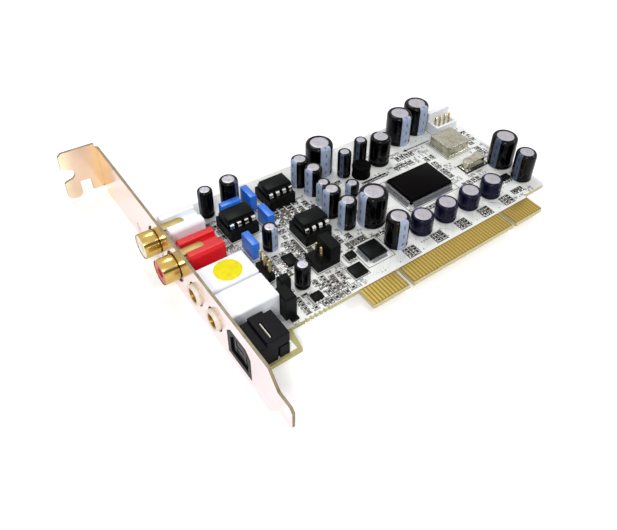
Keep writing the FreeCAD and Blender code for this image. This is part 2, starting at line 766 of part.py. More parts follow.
# Optical socket
def make_optical():
    """Optical socket with its sunken port, ledge, stepped back, top groove and side clip."""
    body = new_body("optical_housing")
    pad(body, outline(body, "optical_front", "YZ_Plane", optical_face("0")), "board_left")
    half, top, step = "optical_body_width / 2", "optical_body_height", "optical_step_inset"
    left, right = "optical_body_y - " + half, "optical_body_y + " + half
    trunk = [(left, "0"), (right, "0"), (right, top), (left, top)]
    pad(body, outline(body, "optical_trunk", "YZ_Plane", trunk, "board_left"),
        "optical_depth - optical_step - board_left")
    tail = [(left, "0"), (right + " - " + step, "0"), (right + " - " + step, top), (left, top)]
    pad(body, outline(body, "optical_tail", "YZ_Plane", tail, "optical_depth - optical_step"),
        "optical_step")
    ledge = [("board_left", left), ("board_left + optical_ledge", left),
             ("board_left + optical_ledge", right), ("board_left", right)]
    pocket(body, outline(body, "optical_ledge_cut", "XY_Plane", ledge, top), "optical_ledge_drop")
    inner, slot = "clip_start + clip_slot", "clip_height + clip_slot"
    clip = [("clip_start", "0"), (inner, "0"), (inner, "clip_height"),
            ("optical_depth", "clip_height"), ("optical_depth", slot), ("clip_start", slot)]
    pocket(body, outline(body, "optical_clip", "XZ_Plane", clip, "-(%s)" % left), "clip_depth")
    port = port_outline("0")
    pocket(body, outline(body, "optical_port", "YZ_Plane", port), "port_depth", True)
    length = "optical_groove_length"
    low = "optical_body_y - optical_step_inset - %s / 2" % length
    groove = [("optical_groove_x", low), ("optical_groove_x + optical_groove_width", low),
              ("optical_groove_x + optical_groove_width", low + " + " + length),
              ("optical_groove_x", low + " + " + length)]
    pocket(body, outline(body, "optical_groove", "XY_Plane", groove, "optical_body_height"),
           "optical_groove_depth")
    place(body, "optical_housing")

    plug = new_body("optical_plug")
    face = outline(plug, "plug_outline", "YZ_Plane", port_outline("port_plug_gap"),
                   "port_plug_setback")
    pad(plug, face, "port_depth - port_plug_setback")
    place(plug, "optical_plug")


def port_outline(gap):
    """Outline of the optical port: square below, two corners cut above."""
    half, corner = "(port_width / 2 - %s)" % gap, "port_corner"
    low = "port_axis - port_height / 2 + " + gap
    high = "port_axis + port_height / 2 - " + gap
    left, right = "optical_y - " + half, "optical_y + " + half
    return [(left, low), (right, low), (right, high + " - " + corner),
            (right + " - " + corner, high), (left + " + " + corner, high),
            (left, high + " - " + corner)]


# Capacitors
def prism(name, radius, height):
    """Upright round piece as a prism of many sides."""
    item = doc.addObject("Part::Prism", name)
    bind(item, "Polygon", "can_sides")
    bind(item, "Circumradius", radius)
    bind(item, "Height", height)
    return item


def make_flat_cans():
    """Row of four like flat cans along the lower edge, as one group."""
    radius, sides = value("flat_radius"), int(value("can_sides"))
    turns = [2 * math.pi * index / sides for index in range(sides + 1)]
    solids = []
    for number in range(int(value("flat_row_count"))):
        middle = number * value("flat_row_pitch")
        rim = [FreeCAD.Vector(middle + radius * math.cos(turn), radius * math.sin(turn), 0)
               for turn in turns[:-1]]
        can = Part.Face(Part.makePolygon(rim + rim[:1]))
        solids.append(can.extrude(FreeCAD.Vector(0, 0, value("flat_height"))))
    place_group("flat_capacitors", solids, "flat_row_start", "edge_row_y")


def make_capacitors():
    for name, kind, _, _ in CAPACITORS:
        place(prism("can_of_" + name, kind + "_radius", kind + "_height"), name,
              name + "_x", name + "_y")
    place(prism("can_of_edge_row", "medium_radius", "medium_height"), "capacitor_19",
          "last_medium_x", "edge_row_y")
    make_flat_cans()


def make_film_capacitors():
    """Four upright film capacitors."""
    length, width, height = value("film_length"), value("film_width"), value("film_height")
    solids = []
    for name, _, _, turn in FILM_CAPACITORS:
        solid = box(length, width, height, 0, 0, 0)
        solid.rotate(FreeCAD.Vector(0, 0, 0), FreeCAD.Vector(0, 0, 1), turn)
        solid.translate(FreeCAD.Vector(value(name + "_x"), value(name + "_y"), 0))
        solids.append(solid)
    place_group("film_capacitors", solids)


# Amplifiers in their sockets
def amplifier_leads(number):
    """Places of the eight leads, with the side on which each one comes out."""
    across, along = value("amplifier_%s_x" % number), value("amplifier_%s_y" % number)
    pitch, row = value("lead_pitch"), value("row_spacing / 2")
    for side in (-1, 1):
        for index in range(4):
            yield across + (index - 1.5) * pitch, along + side * row, side


def make_amplifier(number):
    """Open-framed socket and the moulded amplifier whose leads stand in it."""
    across, along = "amplifier_%s_x" % number, "amplifier_%s_y" % number
    frame = block("frame_" + number, "socket_side", "socket_side", "socket_height")
    window = block("window_" + number, "socket_side - 2 * socket_rail", "socket_window",
                   "socket_height")
    place(cut("socket_" + number, frame, window), "amplifier_socket_" + number, across, along)

    body_low = value("socket_height + amplifier_lift")
    length, width = value("amplifier_length"), value("amplifier_width")
    height, draft = value("amplifier_height"), value("amplifier_draft")
    place_x, place_y = value(across), value(along)
    middle = body_low + height / 2
    sections = []
    for level, inset in ((body_low, draft), (middle, 0.0), (body_low + height, draft)):
        half_x, half_y = length / 2 - inset, width / 2 - inset
        corners = [(-half_x, -half_y), (half_x, -half_y), (half_x, half_y), (-half_x, half_y)]
        points = [FreeCAD.Vector(place_x + a, place_y + b, level) for a, b in corners]
        sections.append(Part.makePolygon(points + points[:1]))
    solid = Part.makeLoft(sections, True, True)
    thick, shoulder = value("lead_thickness"), value("lead_width")
    rail = value("socket_height")
    for lead_x, lead_y, side in amplifier_leads(number):
        reach = abs(lead_y - place_y) - width / 2 + thick / 2 + draft
        arm = box(shoulder, reach, thick, lead_x, lead_y - side * (reach - thick) / 2,
                  middle - thick / 2)
        down = box(shoulder, thick, middle - rail, lead_x, lead_y, rail)
        solid = solid.fuse([arm, down])
    place_group("amplifier_" + number, [solid.removeSplitter()])


# Chips on the board's face
def make_leaded_chip(label):
    """Flat moulded package with a bent fringe of leads on each of its four sides."""
    length, width, height = (value(label + "_" + name) for name in ("length", "width", "height"))
    lift, bevel, reach = (value(label + "_" + name) for name in ("lift", "bevel", "reach"))
    package = box(length, width, height, 0, 0, lift)
    rims = [edge for edge in package.Edges if edge.BoundBox.ZMin > lift + height / 2]
    solids = [package.makeChamfer(bevel, rims)]
    thick, root = value("fine_lead_thickness"), lift + height / 2
    profile = [(0, root), (reach * 0.45, root), (reach * 0.7, thick), (reach, thick), (reach, 0),
               (reach * 0.6, 0), (reach * 0.35, root - thick), (0, root - thick)]
    for half, side, turn in ((length / 2, width, 0), (width / 2, length, 90),
                             (length / 2, width, 180), (width / 2, length, 270)):
        spread = side - 2 * value("fringe_margin")
        points = [FreeCAD.Vector(half + across, -spread / 2, up) for across, up in profile]
        fringe = Part.Face(Part.makePolygon(points + points[:1]))
        fringe = fringe.extrude(FreeCAD.Vector(0, spread, 0))
        fringe.rotate(FreeCAD.Vector(0, 0, 0), FreeCAD.Vector(0, 0, 1), turn)
        solids.append(fringe)
    place_group(label + "_chip", solids, label + "_x", label + "_y")


def make_chips():
    make_leaded_chip("controller")
    make_leaded_chip("converter")
    solids = []
    for across, along, length, width, height in SMALL_CHIPS:
        solids.append(box(length, width, height, across, along, 0))
    place_group("small_chips", solids)


def make_chip_parts():
    """Chip resistors and chip capacitors in their rows."""
    length, width, height = (value(name) for name in CHIP_PART)
    solids = []
    for across, along, count, step_x, step_y, lies_along_x in CHIP_ROWS:
        size_x, size_y = (length, width) if lies_along_x else (width, length)
        for index in range(int(count)):
            solids.append(box(size_x, size_y, height, across + index * step_x,
                              along + index * step_y, 0))
    place_group("chip_parts", solids)


# Clock parts and choke
def make_oscillator():
    """Square drawn can with its welded rim."""
    body = new_body("oscillator")
    half_x, half_y = "oscillator_length / 2", "oscillator_width / 2"
    rim = [("-" + half_x, "-" + half_y), (half_x, "-" + half_y), (half_x, half_y),
           ("-" + half_x, half_y)]
    pad(body, outline(body, "oscillator_base", "XY_Plane", rim), "oscillator_rim_height")
    in_x, in_y = "(%s - oscillator_rim)" % half_x, "(%s - oscillator_rim)" % half_y
    can = [("-" + in_x, "-" + in_y), (in_x, "-" + in_y), (in_x, in_y), ("-" + in_x, in_y)]
    pad(body, outline(body, "oscillator_can", "XY_Plane", can), "oscillator_height")
    low = value("oscillator_rim_height")
    dress(body, "Fillet", lambda edge: (runs_along(edge, "z") and edge.BoundBox.ZMin > low - 1e-4),
          "oscillator_round")
    place(body, "oscillator", "oscillator_x", "oscillator_y")


def stadium(length, width, height, low):
    """Upright solid with two flat sides and two round ends."""
    straight = length - width
    middle = box(straight, width, height, 0, 0, low)
    ends = [Part.makeCylinder(width / 2, height, FreeCAD.Vector(side * straight / 2, 0, low))
            for side in (-1, 1)]
    return middle.fuse(ends).removeSplitter()


def make_crystal():
    """Low crystal can with round ends on its wider base."""
    length, width = value("crystal_length"), value("crystal_width")
    rim, rim_height = value("crystal_rim"), value("crystal_rim_height")
    height = value("crystal_height")
    can = stadium(length - 2 * rim, width - 2 * rim, height - rim_height, rim_height)
    solid = stadium(length, width, rim_height, 0).fuse(can)
    place_group("crystal", [solid.removeSplitter()], "crystal_x", "crystal_y")


def make_choke():
    place(prism("choke_drum", "choke_radius", "choke_height"), "choke", "choke_x", "choke_y")


# Headers and their pins
def row_places(name, count, pitch="lead_pitch", along_x=False, shift="0"):
    """Places of the pins of one header, in a row along Y or along X."""
    across = behind_jacks() if name == "tall_header" else name + "_x"
    middle_x, middle_y = value(across + " + " + shift), value(name + "_y")
    for index in range(int(value(count))):
        offset = (index - (value(count) - 1) / 2) * value(pitch)
        yield (middle_x + offset, middle_y) if along_x else (middle_x, middle_y + offset)


def all_pin_rows():
    """Each header's pin places, with the level at which they stand and their top."""
    yield row_places("power_header", "power_header_pins", along_x=True), \
        "power_header_floor", "power_pin_top"
    inset = "backed_pin_inset - backed_header_width / 2"
    yield row_places("backed_header", "backed_header_pins", shift=inset), \
        "backed_header_base", "backed_header_height"
    yield row_places("plain_header", "plain_header_pins"), "plain_header_height", "plain_pin_top"


def make_power_header():
    """White shroud with a tall wall towards the card's top edge and a low one opposite."""
    length, width, wall = "power_header_length", "power_header_width", "power_header_wall"
    outer = block("power_outer", length, width, "power_header_height")
    tray = block("power_tray", "(%s - 2 * %s)" % (length, wall), "(%s - 2 * %s)" % (width, wall),
                 "power_header_height", "0", "0", "power_header_floor")
    front = block("power_front", length, "(%s - %s)" % (width, wall), "power_header_height",
                  "0", "-%s / 2" % wall, "power_header_low")
    shroud = cut("power_shroud", cut("power_trough", outer, tray), front)
    place(shroud, "power_header", "power_header_x", "power_header_y")


def make_backed_header():
    """Pin header with a low base and a tall block behind its pins."""
    length, width, back = "backed_header_length", "backed_header_width", "backed_header_back"
    outer = block("backed_outer", width, length, "backed_header_height")
    front = block("backed_front", "(%s - %s)" % (width, back), length, "backed_header_height",
                  "-%s / 2" % back, "0", "backed_header_base")
    place(cut("backed_block", outer, front), "backed_header", "backed_header_x", "backed_header_y")


def make_closed_header(name, across):
    """Closed upright connector block with its top edges broken."""
    body = new_body(name)
    half_x, half_y = name + "_width / 2", name + "_length / 2"
    corners = [("-" + half_x, "-" + half_y), (half_x, "-" + half_y), (half_x, half_y),
               ("-" + half_x, half_y)]
    pad(body, outline(body, name + "_plan", "XY_Plane", corners), name + "_height")
    top = value(name + "_height")
    dress(body, "Chamfer", lambda edge: edge.BoundBox.ZMin > top - 1e-4, "header_chamfer")
    place(body, name, across, name + "_y")


def behind_jacks():
    """Middle of the tall header, which stands just behind the lower jack."""
    return "(bracket_thickness + jack_depth + header_clearance + tall_header_width / 2)"


def make_headers():
    make_power_header()
    make_backed_header()
    make_closed_header("tall_header", behind_jacks())
    make_closed_header("short_header", "short_header_x")
    base = doc.addObject("Part::Box", "plain_header")
    length = "(plain_header_pins * lead_pitch)"
    bind(base, "Length", "plain_header_width")
    bind(base, "Width", length)
    bind(base, "Height", "plain_header_height")
    place(base, "plain_header", "plain_header_x - plain_header_width / 2",
          "plain_header_y - %s / 2" % length)
    side = value("post_width")
    solids = []
    for row, foot, top in all_pin_rows():
        low, high = value(foot), value(top)
        solids += [box(side, side, high - low, across, along, low) for across, along in row]
    place_group("header_pins", solids)


# Solder side
def lead_places():
    """Places where the stouter leads come out below the board."""
    for name, _, _, turn in FILM_CAPACITORS:
        for side in (-1, 1):
            reach = side * value("lead_pitch")
            across, along = value(name + "_x"), value(name + "_y")
            yield (across, along + reach) if turn else (across + reach, along)
    for number, _, _ in AMPLIFIERS:
        for across, along, _ in amplifier_leads(number):
            yield across, along
    for row, _, _ in all_pin_rows():
        yield from row
    yield from row_places("tall_header", "plain_header_pins", "chip_length + 0.4")
    for name in ("phono_upper_y", "phono_lower_y"):
        for across in (value("phono_setback + strip_width"), value("phono_setback + phono_depth / 2")):
            yield across, value(name)
    for name in ("jack_upper_y", "jack_lower_y"):
        for share in (-0.35, 0.35):
            yield value("bracket_thickness + jack_depth / 2"), value(name) + share * value("jack_width")
    for index in (-1, 0, 1):
        yield value("optical_depth - optical_step"), value("optical_y") + index * value("lead_pitch")
    for side in (-1, 1):
        yield value("crystal_x") + side * value("lead_pitch"), value("crystal_y")


def make_lead_ends():
    """Cropped leads on the solder side."""
    side, length = value("lead_end_width"), value("lead_end_length")
    low = -value("board_thickness") - length
    place_group("lead_ends", [box(side, side, length, across, along, low)
                              for across, along in lead_places()])


def check_document():
    """Stop if any object failed, or any sub-part's shape is not sound."""
    doc.recompute()
    for item in doc.Objects:
        if "Invalid" in item.State or "Error" in item.State:
            raise ValueError(item.Name + " failed: " + str(item.State))
    for item in parts:
        shape = item.Shape
        if shape.isNull() or not shape.isValid() or shape.Volume <= 0:
            raise ValueError(item.Label + " has no sound shape")


def write_parts():
    os.makedirs("parts", exist_ok=True)
    for item in parts:
        item.Shape.exportStep("parts/" + item.Label + ".step")
        print("%-24s %d solids %10.2f mm3" % (item.Label, len(item.Shape.Solids),
                                              item.Shape.Volume))


make_board()
make_contacts()
make_bracket()
make_screw()
make_phono("upper", "phono_upper_y")
make_phono("lower", "phono_lower_y")
make_jack("upper", "jack_upper_y")
make_jack("lower", "jack_lower_y")
make_label()
make_optical()
make_capacitors()
make_film_capacitors()
for amplifier_number, _, _ in AMPLIFIERS:
    make_amplifier(amplifier_number)
make_chips()
make_chip_parts()
make_oscillator()
make_crystal()
make_choke()
make_headers()
make_lead_ends()
check_document()
write_parts()
print("sub-parts", len(parts))
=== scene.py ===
import logging
import math
import random
from dataclasses import dataclass, replace
from enum import Enum
from functools import cache, cached_property
from typing import Callable, Iterable, Optional, Sequence

import bmesh
import bpy
from mathutils import Matrix, Vector


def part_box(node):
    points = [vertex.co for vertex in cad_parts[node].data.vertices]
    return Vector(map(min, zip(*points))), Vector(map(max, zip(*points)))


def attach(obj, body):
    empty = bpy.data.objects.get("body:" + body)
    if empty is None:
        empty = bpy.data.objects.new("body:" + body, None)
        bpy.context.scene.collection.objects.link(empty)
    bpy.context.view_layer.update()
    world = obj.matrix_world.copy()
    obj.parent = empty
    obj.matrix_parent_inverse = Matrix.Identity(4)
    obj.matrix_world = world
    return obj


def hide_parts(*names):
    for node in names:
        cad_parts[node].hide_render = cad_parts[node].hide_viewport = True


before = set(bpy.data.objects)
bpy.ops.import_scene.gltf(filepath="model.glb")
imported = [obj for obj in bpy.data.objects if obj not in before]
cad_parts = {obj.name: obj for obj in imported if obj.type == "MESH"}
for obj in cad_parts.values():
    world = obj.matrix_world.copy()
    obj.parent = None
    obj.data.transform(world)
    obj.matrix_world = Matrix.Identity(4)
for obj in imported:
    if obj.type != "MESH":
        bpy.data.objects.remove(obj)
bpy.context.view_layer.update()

LOG = logging.getLogger("sound_card")

MM = 0.001
# Card millimetres: X inwards from the bracket's face, Y up from the contacts' lower edge,
# Z up from the component side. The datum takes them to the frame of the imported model.
DATUM = Vector((-60.15, -40.35, 3.92))
CARD_TO_FRAME = Matrix.Scale(MM, 4) @ Matrix.Translation(DATUM)
BOARD_UNDERSIDE = -1.57

Point = tuple[float, float, float]
Color = tuple[float, float, float, float]
Profile = Sequence[tuple[float, float]]
# Least X and Y and greatest X and Y of a stretch of the board
Field = tuple[float, float, float, float]
Part = bmesh.types.BMesh
Face = bmesh.types.BMFace
Socket = bpy.types.NodeSocket
Node = bpy.types.Node
Tree = bpy.types.NodeTree


class Axis(Enum):
    """Directions that a turned part's profile may climb in."""

    UP = "up"
    INWARDS = "inwards"

    def matrix(self) -> Matrix:
        """Give the turn from a profile that climbs along Z."""
        return Matrix.Rotation(math.pi / 2 if self is Axis.INWARDS else 0.0, 4, "Y")


def shade(*levels: int) -> Color:
    """Turn a colour written in display values into the linear one that a shader takes.

    Args:
        levels: Red, green and blue from 0 to 255.

    Returns:
        The linear colour with full alpha.
    """
    parts = (level / 255 for level in levels)
    return (*(part / 12.92 if part <= 0.04045 else ((part + 0.055) / 1.055) ** 2.4
              for part in parts), 1.0)


# Shader building blocks
class Wiring:
    """Short ways of placing and joining the nodes of one tree."""

    def __init__(self, tree: Tree) -> None:
        """Take the tree that the nodes go into, and its shader if it has one."""
        self.tree = tree
        self.surface = tree.nodes.get("Principled BSDF")

    def add(self, kind: str, **settings: object) -> Node:
        """Place a node and set its own properties.

        Args:
            kind: The node's type name without the leading "ShaderNode".
            settings: Properties of the node.

        Returns:
            The new node.
        """
        node = self.tree.nodes.new("ShaderNode" + kind)
        for name, setting in settings.items():
            setattr(node, name, setting)
        return node

    def feed(self, socket: Socket, source: object) -> None:
        """Join a socket to another one, or give it a plain value.

        Args:
            socket: The input that is fed.
            source: Another node's socket, or the value.
        """
        if isinstance(source, Socket):
            self.tree.links.new(source, socket)
        else:
            socket.default_value = source

    def give(self, node: Node, **given: object) -> Node:
        """Feed a node's inputs by name, with underscores for the spaces in a name.

        Args:
            node: The node.
            given: What each input takes.

        Returns:
            The same node.
        """
        for name, source in given.items():
            self.feed(node.inputs[name.replace("_", " ")], source)
        return node

    def fill(self, node: Node, *sources: object, first: int = 0) -> Node:
        """Feed a node's inputs in their order.

        Args:
            node: The node.
            sources: What the inputs take.
            first: Number of the input that takes the first of them.

        Returns:
            The same node.
        """
        for socket, source in zip(node.inputs[first:], sources):
            self.feed(socket, source)
        return node

    def sum(self, operation: str, *terms: object, clamp: bool = False) -> Socket:
        """Work out one Math node, named as Blender names it, from values or sockets."""
        node = self.add("Math", operation=operation, use_clamp=clamp)
        return self.fill(node, *terms).outputs[0]

    def times(self, first: object, second: object, clamp: bool = False) -> Socket:
        """Multiply two values or sockets."""
        return self.sum("MULTIPLY", first, second, clamp=clamp)

    def step(self, source: object, start: float, end: float) -> Socket:
        """Rise smoothly from 0 at start to 1 at end, which may lie below the start."""
        node = self.add("MapRange", interpolation_type="SMOOTHSTEP")
        return self.give(node, Value=source, From_Min=start, From_Max=end).outputs["Result"]

    def blend(self, share: object, first: object, second: object) -> Socket:
        """Mix two colours.

        Args:
            share: How much of the second colour shows.
            first: The colour at a share of 0.
            second: The colour at a share of 1.

        Returns:
            The mixed colour's socket.
        """
        node = self.add("Mix", data_type="RGBA")
        self.feed(node.inputs[0], share)
        return self.fill(node, first, second, first=6).outputs[2]

    def choose(self, share: Socket, first: Socket, second: Socket) -> Socket:
        """Mix two shaders by a share of the second."""
        return self.fill(self.add("MixShader"), share, first, second).outputs[0]

    def places(self, size: Point = (1000.0, 1000.0, 1000.0)) -> Socket:
        """Give the object coordinates in millimetres, stretched where asked."""
        spot = self.add("TexCoord").outputs["Object"]
        return self.give(self.add("Mapping"), Vector=spot, Scale=size).outputs["Vector"]

    def noise(self, where: Socket, scale: object, detail: float = 3.0) -> Socket:
        """Give the noise at a place, by its cells to the millimetre and its octaves."""
        node = self.add("TexNoise")
        return self.give(node, Vector=where, Scale=scale, Detail=detail, Roughness=0.55).outputs[0]

    def split(self, vector: Socket) -> Sequence[Socket]:
        """Take a vector apart into its X, Y and Z."""
        return self.fill(self.add("SeparateXYZ"), vector).outputs[:]

    def own_place(self) -> Sequence[Socket]:
        """Give the X, Y and Z that a turned solid's corners have in it."""
        own = self.add("Attribute", attribute_name="place", attribute_type="GEOMETRY")
        return self.split(own.outputs["Vector"])

    def reach(self, across: Socket, along: Socket) -> Socket:
        """Give the distance from an axis at a place given by its two sides."""
        squares = [self.sum("POWER", side, 2.0) for side in (across, along)]
        return self.sum("SQRT", self.sum("ADD", *squares))

    def watched(self) -> Socket:
        """Give 1 to the rays by which the picture shows a surface, and 0 to those that light.

        Returns:
            The answer's socket.
        """
        rays = self.add("LightPath").outputs
        mirrored = self.sum("MAXIMUM", rays["Is Glossy Ray"], rays["Is Transmission Ray"])
        return self.sum("MAXIMUM", rays["Is Camera Ray"], mirrored)

    def group(self, group: Tree, **given: object) -> Sequence[Socket]:
        """Place a node group, feed its inputs by name and give its outputs."""
        return self.give(self.add("Group", node_tree=group), **given).outputs


class Effects:
    """The node groups that several finishes share, each built when it is first asked for."""

    def start(self, name: str, inputs: dict[str, object],
              outputs: Sequence[str]) -> tuple[Wiring, Sequence[Socket], Node]:
        """Open a new group with its sockets.

        Args:
            name: The group's name.
            inputs: Each input's plain value, a colour where it has four parts.
            outputs: The outputs' names, of which Color is a colour.

        Returns:
            The group's wiring, what comes in by its inputs, and its output node.
        """
        tree = bpy.data.node_groups.new(name, "ShaderNodeTree")
        kinds = {False: "NodeSocketFloat", True: "NodeSocketColor"}
        for label, plain in inputs.items():
            socket = tree.interface.new_socket(label, in_out="INPUT",
                                               socket_type=kinds[isinstance(plain, tuple)])
            socket.default_value = plain
        for label in outputs:
            tree.interface.new_socket(label, in_out="OUTPUT", socket_type=kinds[label == "Color"])
        entry, leave = (tree.nodes.new("NodeGroup" + end) for end in ("Input", "Output"))
        return Wiring(tree), entry.outputs, leave

    @cached_property
    def edge_wear_and_highlight(self) -> Tree:
        """Give the group that finds a piece's outer edges, for worn rims, cut rims and painted
        highlights.

        Returns:
            The group.
        """
        w, given, leave = self.start("edge wear and highlight", {"Width": 0.3, "Patchiness": 0.5}, ["Mask"])
        rounded = w.give(w.add("Bevel", samples=6), Radius=w.times(given["Width"], MM))
        turn = w.fill(w.add("VectorMath", operation="DOT_PRODUCT"), rounded.outputs["Normal"],
                      w.add("NewGeometry").outputs["Normal"])
        edge = w.step(w.sum("SUBTRACT", 1.0, turn.outputs["Value"]), 0.01, 0.16)
        patches = w.step(w.noise(w.places(), 0.9), 0.35, 0.7)
        kept = w.sum("MULTIPLY_ADD", w.sum("SUBTRACT", patches, 1.0), given["Patchiness"], 1.0,
                     clamp=True)
        w.give(leave, Mask=w.times(edge, kept, clamp=True))
        return w.tree

    @cached_property
    def moulding(self) -> Tree:
        """Give the group for moulded plastic: fine skin, faint flow marks and tone changes.

        Returns:
            The group.
        """
        w, given, leave = self.start(
            "moulding", {"Color": (0.5, 0.5, 0.5, 1.0), "Variation": 0.1, "Roughness": 0.4,
                         "Skin Size": 9.0}, ["Color", "Roughness", "Height"])
        where = w.places()
        fine = w.noise(where, given["Skin Size"], 2.0)
        broad = w.noise(where, 0.35)
        flow = w.noise(w.places((250.0, 1400.0, 900.0)), 0.8, 2.0)
        tone = w.times(w.sum("SUBTRACT", broad, 0.5), given["Variation"])
        lit = w.give(w.add("HueSaturation"), Color=given["Color"],
                     Value=w.sum("MULTIPLY_ADD", tone, 2.0, 1.0))
        rubbed = w.sum("MULTIPLY_ADD", w.sum("SUBTRACT", flow, 0.5), 0.25, 1.0)
        w.give(leave, Color=lit.outputs["Color"],
               Roughness=w.times(given["Roughness"], rubbed, clamp=True),
               Height=w.sum("MULTIPLY_ADD", broad, 0.6, fine))
        return w.tree

    @cached_property
    def metal_skin(self) -> Tree:
        """Give the group for bright metal: drawn lines, handling marks and tone changes.

        Returns:
            The group.
        """
        w, given, leave = self.start(
            "metal skin", {"Color": (0.8, 0.8, 0.8, 1.0), "Tarnish": (0.4, 0.3, 0.2, 1.0),
                           "Amount": 0.2, "Roughness": 0.25, "Size": 0.6},
            ["Color", "Roughness", "Height"])
        where = w.places()
        patches = w.step(w.noise(where, given["Size"], 4.0), 0.42, 0.78)
        stain = w.times(patches, given["Amount"], clamp=True)
        lines = w.noise(w.places((300.0, 300.0, 6000.0)), 1.2, 2.0)
        marks = w.noise(where, 3.0, 2.0)
        uneven = w.sum("MULTIPLY_ADD", w.sum("SUBTRACT", marks, 0.5), 0.5, 1.0)
        w.give(leave, Color=w.blend(stain, given["Color"], given["Tarnish"]),
               Roughness=w.times(given["Roughness"], uneven, clamp=True),
               Height=w.sum("MULTIPLY_ADD", lines, 0.5, marks))
        return w.tree


EFFECTS = Effects()


@dataclass(frozen=True)
class Finish:
    """A finish of the card: where its colour comes from is in the classes below."""

    name: str
    slot: str
    roughness: float = 0.4

    def material(self) -> bpy.types.Material:
        """Give this finish's material, building it on the first call.

        Returns:
            The material.
        """
        made = bpy.data.materials.get(self.name)
        if made is None:
            made = bpy.data.materials.new(self.name)
            made.use_nodes = True
            w = Wiring(made.node_tree)
            w.give(w.surface, Roughness=self.roughness)
            self.wire(w)
            made.diffuse_color = tuple(w.surface.inputs["Base Color"].default_value)
        return made

    def wire(self, w: Wiring) -> None:
        """Wire the finish into its shader; each kind of finish has its own way."""
        raise NotImplementedError

    def bump(self, w: Wiring, height: Socket, depth: float, strength: float = 1.0) -> None:
        """Raise the surface by a height, of which 1 stands for a depth in millimetres."""
        relief = w.give(w.add("Bump"), Strength=strength, Distance=depth * MM, Height=height)
        w.give(w.surface, Normal=relief.outputs["Normal"])

    def worn(self, w: Wiring, tone: Socket, edge: Color, share: float, width: float,
             patchiness: float) -> Socket:
        """Mix a share of another tone into the outer edges, over a width in millimetres; lighter
        tones are partly painted highlight.
        """
        rim = w.group(EFFECTS.edge_wear_and_highlight, Width=width, Patchiness=patchiness)
        return w.blend(w.times(rim["Mask"], share), tone, edge)


@dataclass(frozen=True)
class Moulded(Finish):
    """Moulded plastic with a fine skin and lighter edges, partly rubbed wear and partly painted
    highlight.
    """

    color: Color = (0.5, 0.5, 0.5, 1.0)
    edge: Color = (0.7, 0.7, 0.7, 1.0)
    edge_share: float = 0.25
    edge_width: float = 0.25
    variation: float = 0.1
    skin: float = 9.0
    relief: float = 0.01
    sheen_coat: float = 0.0
    shine: float = 0.5

    def wire(self, w: Wiring) -> None:
        """Wire the moulding group, the lighter edges of rubbed wear and painted highlight, and the
        skin's relief.

        Args:
            w: The material's wiring.
        """
        plastic = w.group(EFFECTS.moulding, Color=self.color, Variation=self.variation,
                          Roughness=self.roughness, Skin_Size=self.skin)
        tone = self.worn(w, plastic["Color"], self.edge, self.edge_share, self.edge_width, 0.6)
        w.give(w.surface, Base_Color=tone, Roughness=plastic["Roughness"],
               Specular_IOR_Level=self.shine, Coat_Weight=self.sheen_coat, Coat_Roughness=0.12)
        self.bump(w, plastic["Height"], self.relief)


@dataclass(frozen=True)
class Metal(Finish):
    """Bare or plated metal with tarnish in patches, tinted edges that are partly painted highlight,
    and a dark band of painted reflection.
    """

    color: Color = (0.8, 0.8, 0.8, 1.0)
    tarnish: Color = (0.4, 0.3, 0.2, 1.0)
    amount: float = 0.25
    edge: Color = (0.5, 0.4, 0.3, 1.0)
    edge_share: float = 0.0
    edge_width: float = 0.2
    size: float = 0.6
    relief: float = 0.004
    painted_reflection_band: float = 0.0
    painted_reflection_color: Color = (0.1, 0.06, 0.02, 1.0)

    def wire(self, w: Wiring) -> None:
        """Wire the metal group, the edges with their painted highlight, the drawn relief and the
        dark band of painted reflection.

        Args:
            w: The material's wiring.
        """
        skin = w.group(EFFECTS.metal_skin, Color=self.color, Tarnish=self.tarnish,
                       Amount=self.amount, Roughness=self.roughness, Size=self.size)
        tone = skin["Color"]
        if self.edge_share:
            tone = self.worn(w, tone, self.edge, self.edge_share, self.edge_width, 0.3)
        # A dark band on faces turned partly upwards is a painted reflection of a dark horizon.
        if self.painted_reflection_band:
            rise = w.split(w.add("NewGeometry").outputs["Normal"])[2]
            band = w.times(w.step(rise, 0.74, 0.66), w.step(rise, 0.5, 0.58))
            tone = w.blend(w.times(band, self.painted_reflection_band), tone, self.painted_reflection_color)
        w.give(w.surface, Metallic=1.0, Base_Color=tone, Roughness=skin["Roughness"])
        self.bump(w, skin["Height"], self.relief)


@dataclass(frozen=True)
class PassivatedSteel(Finish):
    """The rear bracket's plating, peach at its folded end and paler along its face."""

    folded: Color = (0.8, 0.6, 0.4, 1.0)
    flange: Color = (0.8, 0.7, 0.6, 1.0)
    tip: Color = (0.9, 0.8, 0.6, 1.0)
    middle: Color = (0.9, 0.8, 0.7, 1.0)
    face: Color = (0.9, 0.8, 0.8, 1.0)
    rim: Color = (0.5, 0.4, 0.2, 1.0)

    def wire(self, w: Wiring) -> None:
        """Wire the plating's drift of tone, its cut edges and its rolled grain.

        Args:
            w: The material's wiring.
        """
        where = w.places()
        across, up, _ = w.split(where)
        cloud = w.sum("SUBTRACT", w.noise(where, 0.06, 4.0), 0.5)
        along = w.sum("MULTIPLY_ADD", cloud, 14.0, up)
        out = w.sum("MULTIPLY_ADD", cloud, 8.0, across)
        tone = self.face
        for place, start, end, next_tone in ((along, -34.0, 24.0, self.middle),
                                             (along, 45.0, 58.0, self.folded),
                                             (out, -60.6, -65.0, self.flange),
                                             (out, -67.5, -72.0, self.tip)):
            tone = w.blend(w.step(place, start, end), tone, next_tone)
        skin = w.group(EFFECTS.metal_skin, Color=tone, Tarnish=self.rim, Amount=0.12,
                       Roughness=self.roughness, Size=0.35)
        w.give(w.surface, Metallic=1.0, Roughness=skin["Roughness"],
               Base_Color=self.worn(w, skin["Color"], self.rim, 0.75, 0.22, 0.2))
        self.bump(w, w.noise(w.places((2600.0, 260.0, 2600.0)), 1.0), 0.004)


